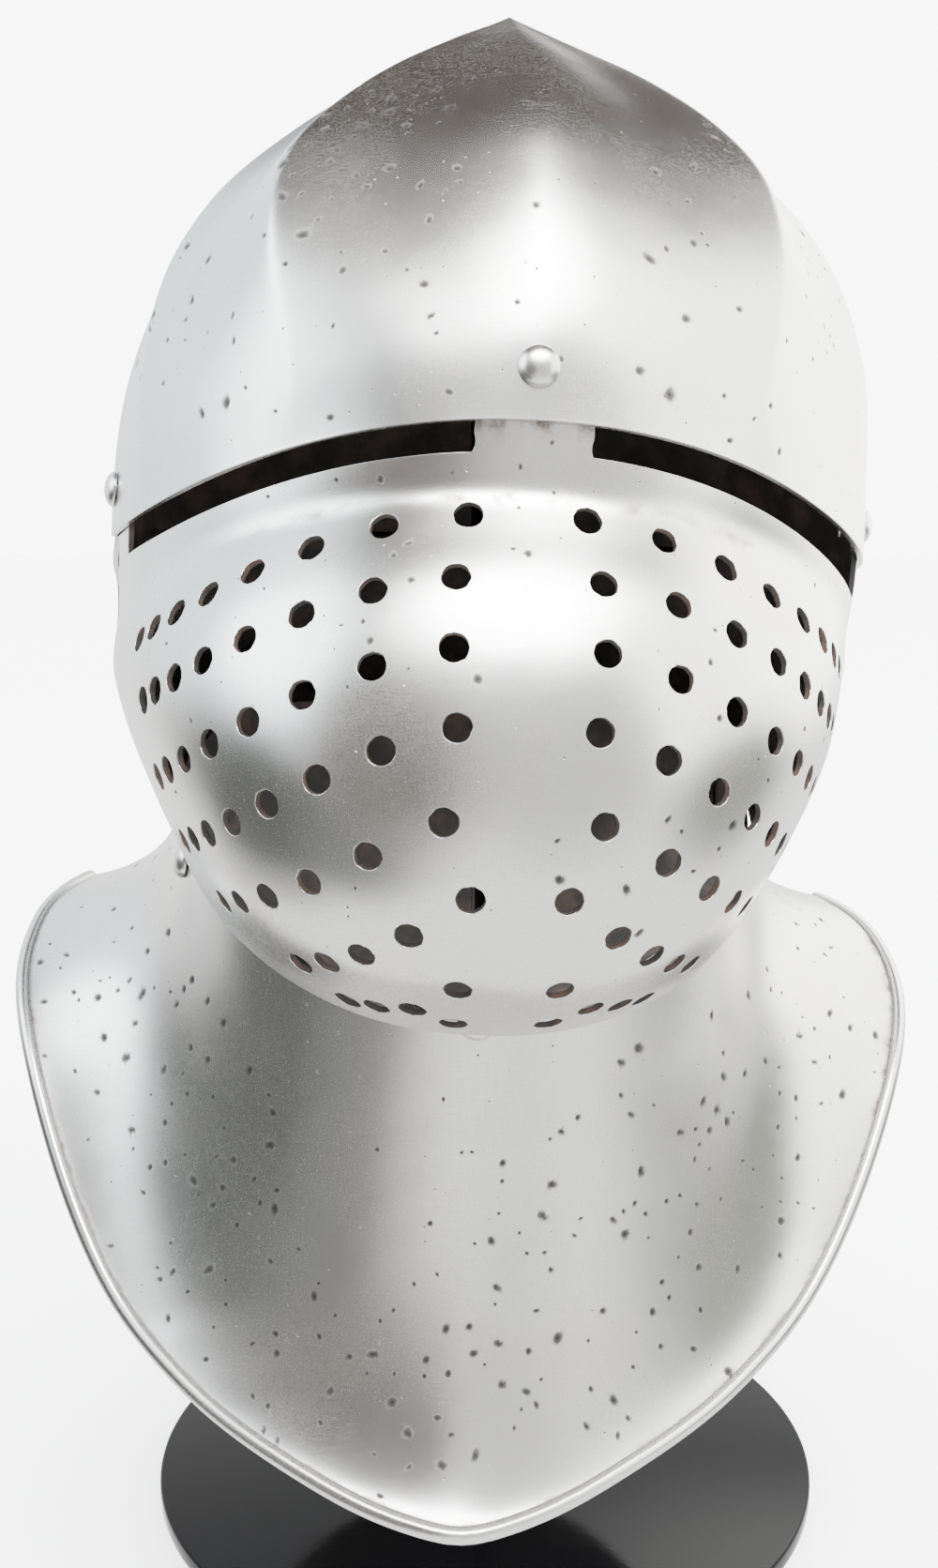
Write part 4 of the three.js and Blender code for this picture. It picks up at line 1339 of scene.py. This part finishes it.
for name, (seat, direction, grip, lift) in RIVETS.items():
    points, facing, triangles = turned(rivet_profile(grip, lift))
    spin = np.array(Vector((0, 0, 1)).rotation_difference(Vector(direction)).to_matrix())
    points = points @ spin.T + seat
    facing = facing @ spin.T
    rivet = make_piece(name + "_domed", points, facing, triangles, steel, marks=no_marks(points))
    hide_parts(name)

# %% [markdown]
# ## The stand
#
# A heavy disc with a slim post, sprayed gloss black. The block that carries the skull from inside is
# shaped to its fluted hollow, so the helmet can't turn on it. It is plain, because nobody sees it.

# %% Stand
base_radius = 120.0
base_thickness = 6.0
post_radius = 5.0
post_seat_depth = 3.0
head_block_depth = 12.0
head_block_rise = 0.86
head_socket_depth = 10.0


def rounded_profile():
    edge = 1.0
    profile = [(0, 0), (base_radius - edge, 0)]
    for angle in np.linspace(-90, 0, 5)[1:] * degree:
        profile.append((base_radius - edge + edge * np.cos(angle), edge + edge * np.sin(angle)))
    for angle in np.linspace(0, 90, 5) * degree:
        top = base_thickness - edge
        profile.append((base_radius - edge + edge * np.cos(angle), top + edge * np.sin(angle)))
    seat = post_radius + gap
    profile += [(seat, base_thickness), (seat, base_thickness)]
    profile += [(seat, base_thickness - post_seat_depth), (seat, base_thickness - post_seat_depth)]
    profile.append((0, base_thickness - post_seat_depth))
    return profile


base = make_piece("lacquered_base", *turned(rounded_profile(), 180), lacquer, UPRIGHT, slot="black_lacquer")
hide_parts("stand_base")

head_edge = brow_side_height + (apex_height - brow_side_height) * head_block_rise
socket_top = head_edge - head_block_depth + head_socket_depth
post_foot = base_thickness - post_seat_depth + gap
post_top = socket_top - gap
post_profile = [(0, post_foot), (post_radius - 0.5, post_foot), (post_radius, post_foot + 0.5)]
post_profile += [(post_radius, post_top - 0.5), (post_radius - 0.5, post_top), (0, post_top)]
post = make_piece("lacquered_post", *turned(post_profile, 48), lacquer, UPRIGHT, slot="black_lacquer")
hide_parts("stand_post")

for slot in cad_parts["stand_head"].material_slots:
    slot.material = lacquer

# %% [markdown]
# ## The floor and the light
#
# A pale paper floor runs back into a white background, so no horizon shows. It is a round sheet under
# the stand and a wide ring beyond it. The steel doesn't mirror it, because the room in the next cell
# stands in for all that the steel sees. One broad lamp at the right gives the soft shadow at the left.

# %% Floor and lamp
FLOOR_SHEET = 0.62
FLOOR_REACH = 9.0
SKY_STRENGTH = 8.5
LAMP_PLACE = (1.3, -0.9, 1.7)
LAMP_SIZE = 0.9
LAMP_POWER = 90


def paper():
    material, tree, shader = new_material("pale_paper")
    tone = noise(tree, millimetres(tree), 400, 3)
    colour = blended(tree, tone, linear("#F8F9F9"), linear("#F3F6F6"))
    feed(tree, shader, {"Base Color": colour, "Roughness": 0.9, "Specular IOR Level": 0.0})
    return material


def floor_ring(name, inner, outer, material, sides=96):
    angle = np.arange(sides) * 2 * np.pi / sides
    circle = np.stack([np.cos(angle), np.sin(angle), np.zeros(sides)], -1)
    mesh = bpy.data.meshes.new(name)
    if inner == 0:
        mesh.from_pydata((circle * outer).tolist(), [], [list(range(sides))])
    else:
        quads = [(j, (j + 1) % sides, (j + 1) % sides + sides, j + sides) for j in range(sides)]
        points = np.concatenate([circle * inner, circle * outer])
        mesh.from_pydata(points.tolist(), [], [q[::-1] for q in quads])
    mesh.materials.append(material)
    ring_object = added(name, mesh)
    return ring_object


white_paper = paper()
floor = floor_ring("floor", 0, FLOOR_SHEET, white_paper)
far_floor = floor_ring("far_floor", FLOOR_SHEET, FLOOR_REACH, white_paper)
for paper_sheet in (floor, far_floor):
    paper_sheet.visible_glossy = False

world = bpy.data.worlds.new("white_studio")
bpy.context.scene.world = world
world.use_nodes = True
background = world.node_tree.nodes["Background"]
feed(world.node_tree, background, {"Color": (1.0, 1.0, 1.0, 1.0), "Strength": SKY_STRENGTH})

lamp_data = bpy.data.lights.new("soft_lamp", "AREA")
lamp_data.size = LAMP_SIZE
lamp_data.energy = LAMP_POWER
lamp = added("soft_lamp", lamp_data)
lamp.location = LAMP_PLACE
lamp.rotation_euler = (Vector((0, 0, 0.2)) - lamp.location).to_track_quat("-Z", "Y").to_euler()
lamp.visible_glossy = False

# %% [markdown]
# ## The room in the reflections
#
# Polished steel is a picture of the room it stands in. The room is a round shell that only
# reflections see: a dim warm ceiling, a bright window high in front, cooler light from the left,
# white walls on the right, and a dark shape where someone might stand. Each row of the table is
# one soft patch: its direction (0 is straight in front of the face, and the viewer's right is
# positive), its height above the horizon, half its width and height in degrees, and its brightness.

# %% Room
ROOM_RADIUS = 0.6
ROOM_CENTRE = (0, -0.15, 0.3)
ROOM_PATCHES = table(
    "turn lift wide high soft colour level",
    (-100, 28, 60, 26, 0.35, "#E4F3FA", 3.4),
    (-76, 34, 24, 20, 0.5, "#EEF8FC", 11.0),
    (118, 20, 54, 25, 0.3, "#FFFFFA", 9.0),
    (72, 24, 26, 30, 0.4, "#FCFFF3", 7.0),
    (26, 10, 28, 34, 0.4, "#FFFFFF", 1.5),
    (18, 57, 45, 15, 0.35, "#FFFFFF", 34.0),
    (-26, 7, 27, 34, 0.45, "#FFF0E6", 0.34),
    (-78, -18, 40, 24, 0.4, "#FCFFF6", 0.2),
    (-45, -30, 24, 14, 0.4, "#FCFFF6", 0.35),
    (87, -12, 27, 17, 0.5, "#FAFFEC", 0.6),
)


def room_material():
    material = bpy.data.materials.new("studio_room")
    material.use_nodes = True
    tree = material.node_tree
    tree.nodes.clear()
    where = node(tree, "ShaderNodeTexCoord").outputs["Object"]
    direction = node(tree, "ShaderNodeVectorMath", {0: where}, operation="NORMALIZE").outputs[0]
    side, depth, up = node(tree, "ShaderNodeSeparateXYZ", {0: direction}).outputs
    turn = maths(tree, "ARCTAN2", side, times(tree, depth, -1.0))
    lift = maths(tree, "ARCSINE", up)
    turn = maths(tree, "DEGREES", turn)
    lift = maths(tree, "DEGREES", lift)
    walls = blended(tree, ranged(tree, lift, -10, 25), (2.7, 2.7, 2.7, 1), (2.4, 2.45, 2.5, 1))
    ahead = maths(tree, "COSINE", maths(tree, "RADIANS", maths(tree, "SUBTRACT", turn, 5.0)))
    edge = plus(tree, 48.0, times(tree, ahead, 15.0))
    ceiling = blended(tree, ranged(tree, ahead, -1, 1), (0.19, 0.165, 0.15, 1), (0.36, 0.315, 0.29, 1))
    over = ranged(tree, maths(tree, "SUBTRACT", lift, edge), -7, 7)
    colour = blended(tree, over, walls, ceiling)
    for row in ROOM_PATCHES:
        inputs = {0: maths(tree, "SUBTRACT", turn, row["turn"]), 1: 180, 2: -180}
        across = node(tree, "ShaderNodeMath", inputs, operation="WRAP").outputs[0]
        wide = maths(tree, "DIVIDE", across, row["wide"])
        high = maths(tree, "DIVIDE", maths(tree, "SUBTRACT", lift, row["lift"]), row["high"])
        wide = maths(tree, "POWER", maths(tree, "ABSOLUTE", wide), 2.0)
        high = maths(tree, "POWER", maths(tree, "ABSOLUTE", high), 2.0)
        reach = maths(tree, "SQRT", plus(tree, wide, high))
        patch = ranged(tree, reach, 1 - row["soft"], 1 + row["soft"], 1.0, 0.0)
        bright = [v * row["level"] for v in linear(row["colour"])[:3]] + [1]
        colour = blended(tree, patch, colour, bright)
    glow = node(tree, "ShaderNodeEmission", {"Color": colour, "Strength": 1.0})
    output = node(tree, "ShaderNodeOutputMaterial")
    tree.links.new(glow.outputs[0], output.inputs[0])
    material.cycles.emission_sampling = "NONE"
    return material


def build_room():
    form = bmesh.new()
    bmesh.ops.create_uvsphere(form, u_segments=48, v_segments=24, radius=ROOM_RADIUS)
    mesh = bpy.data.meshes.new("room")
    form.to_mesh(mesh)
    form.free()
    mesh.materials.append(room_material())
    room = added("room", mesh)
    room.location = ROOM_CENTRE
    room.visible_camera = False
    room.visible_diffuse = False
    room.visible_shadow = False
    room.visible_transmission = False
    return room


room = build_room()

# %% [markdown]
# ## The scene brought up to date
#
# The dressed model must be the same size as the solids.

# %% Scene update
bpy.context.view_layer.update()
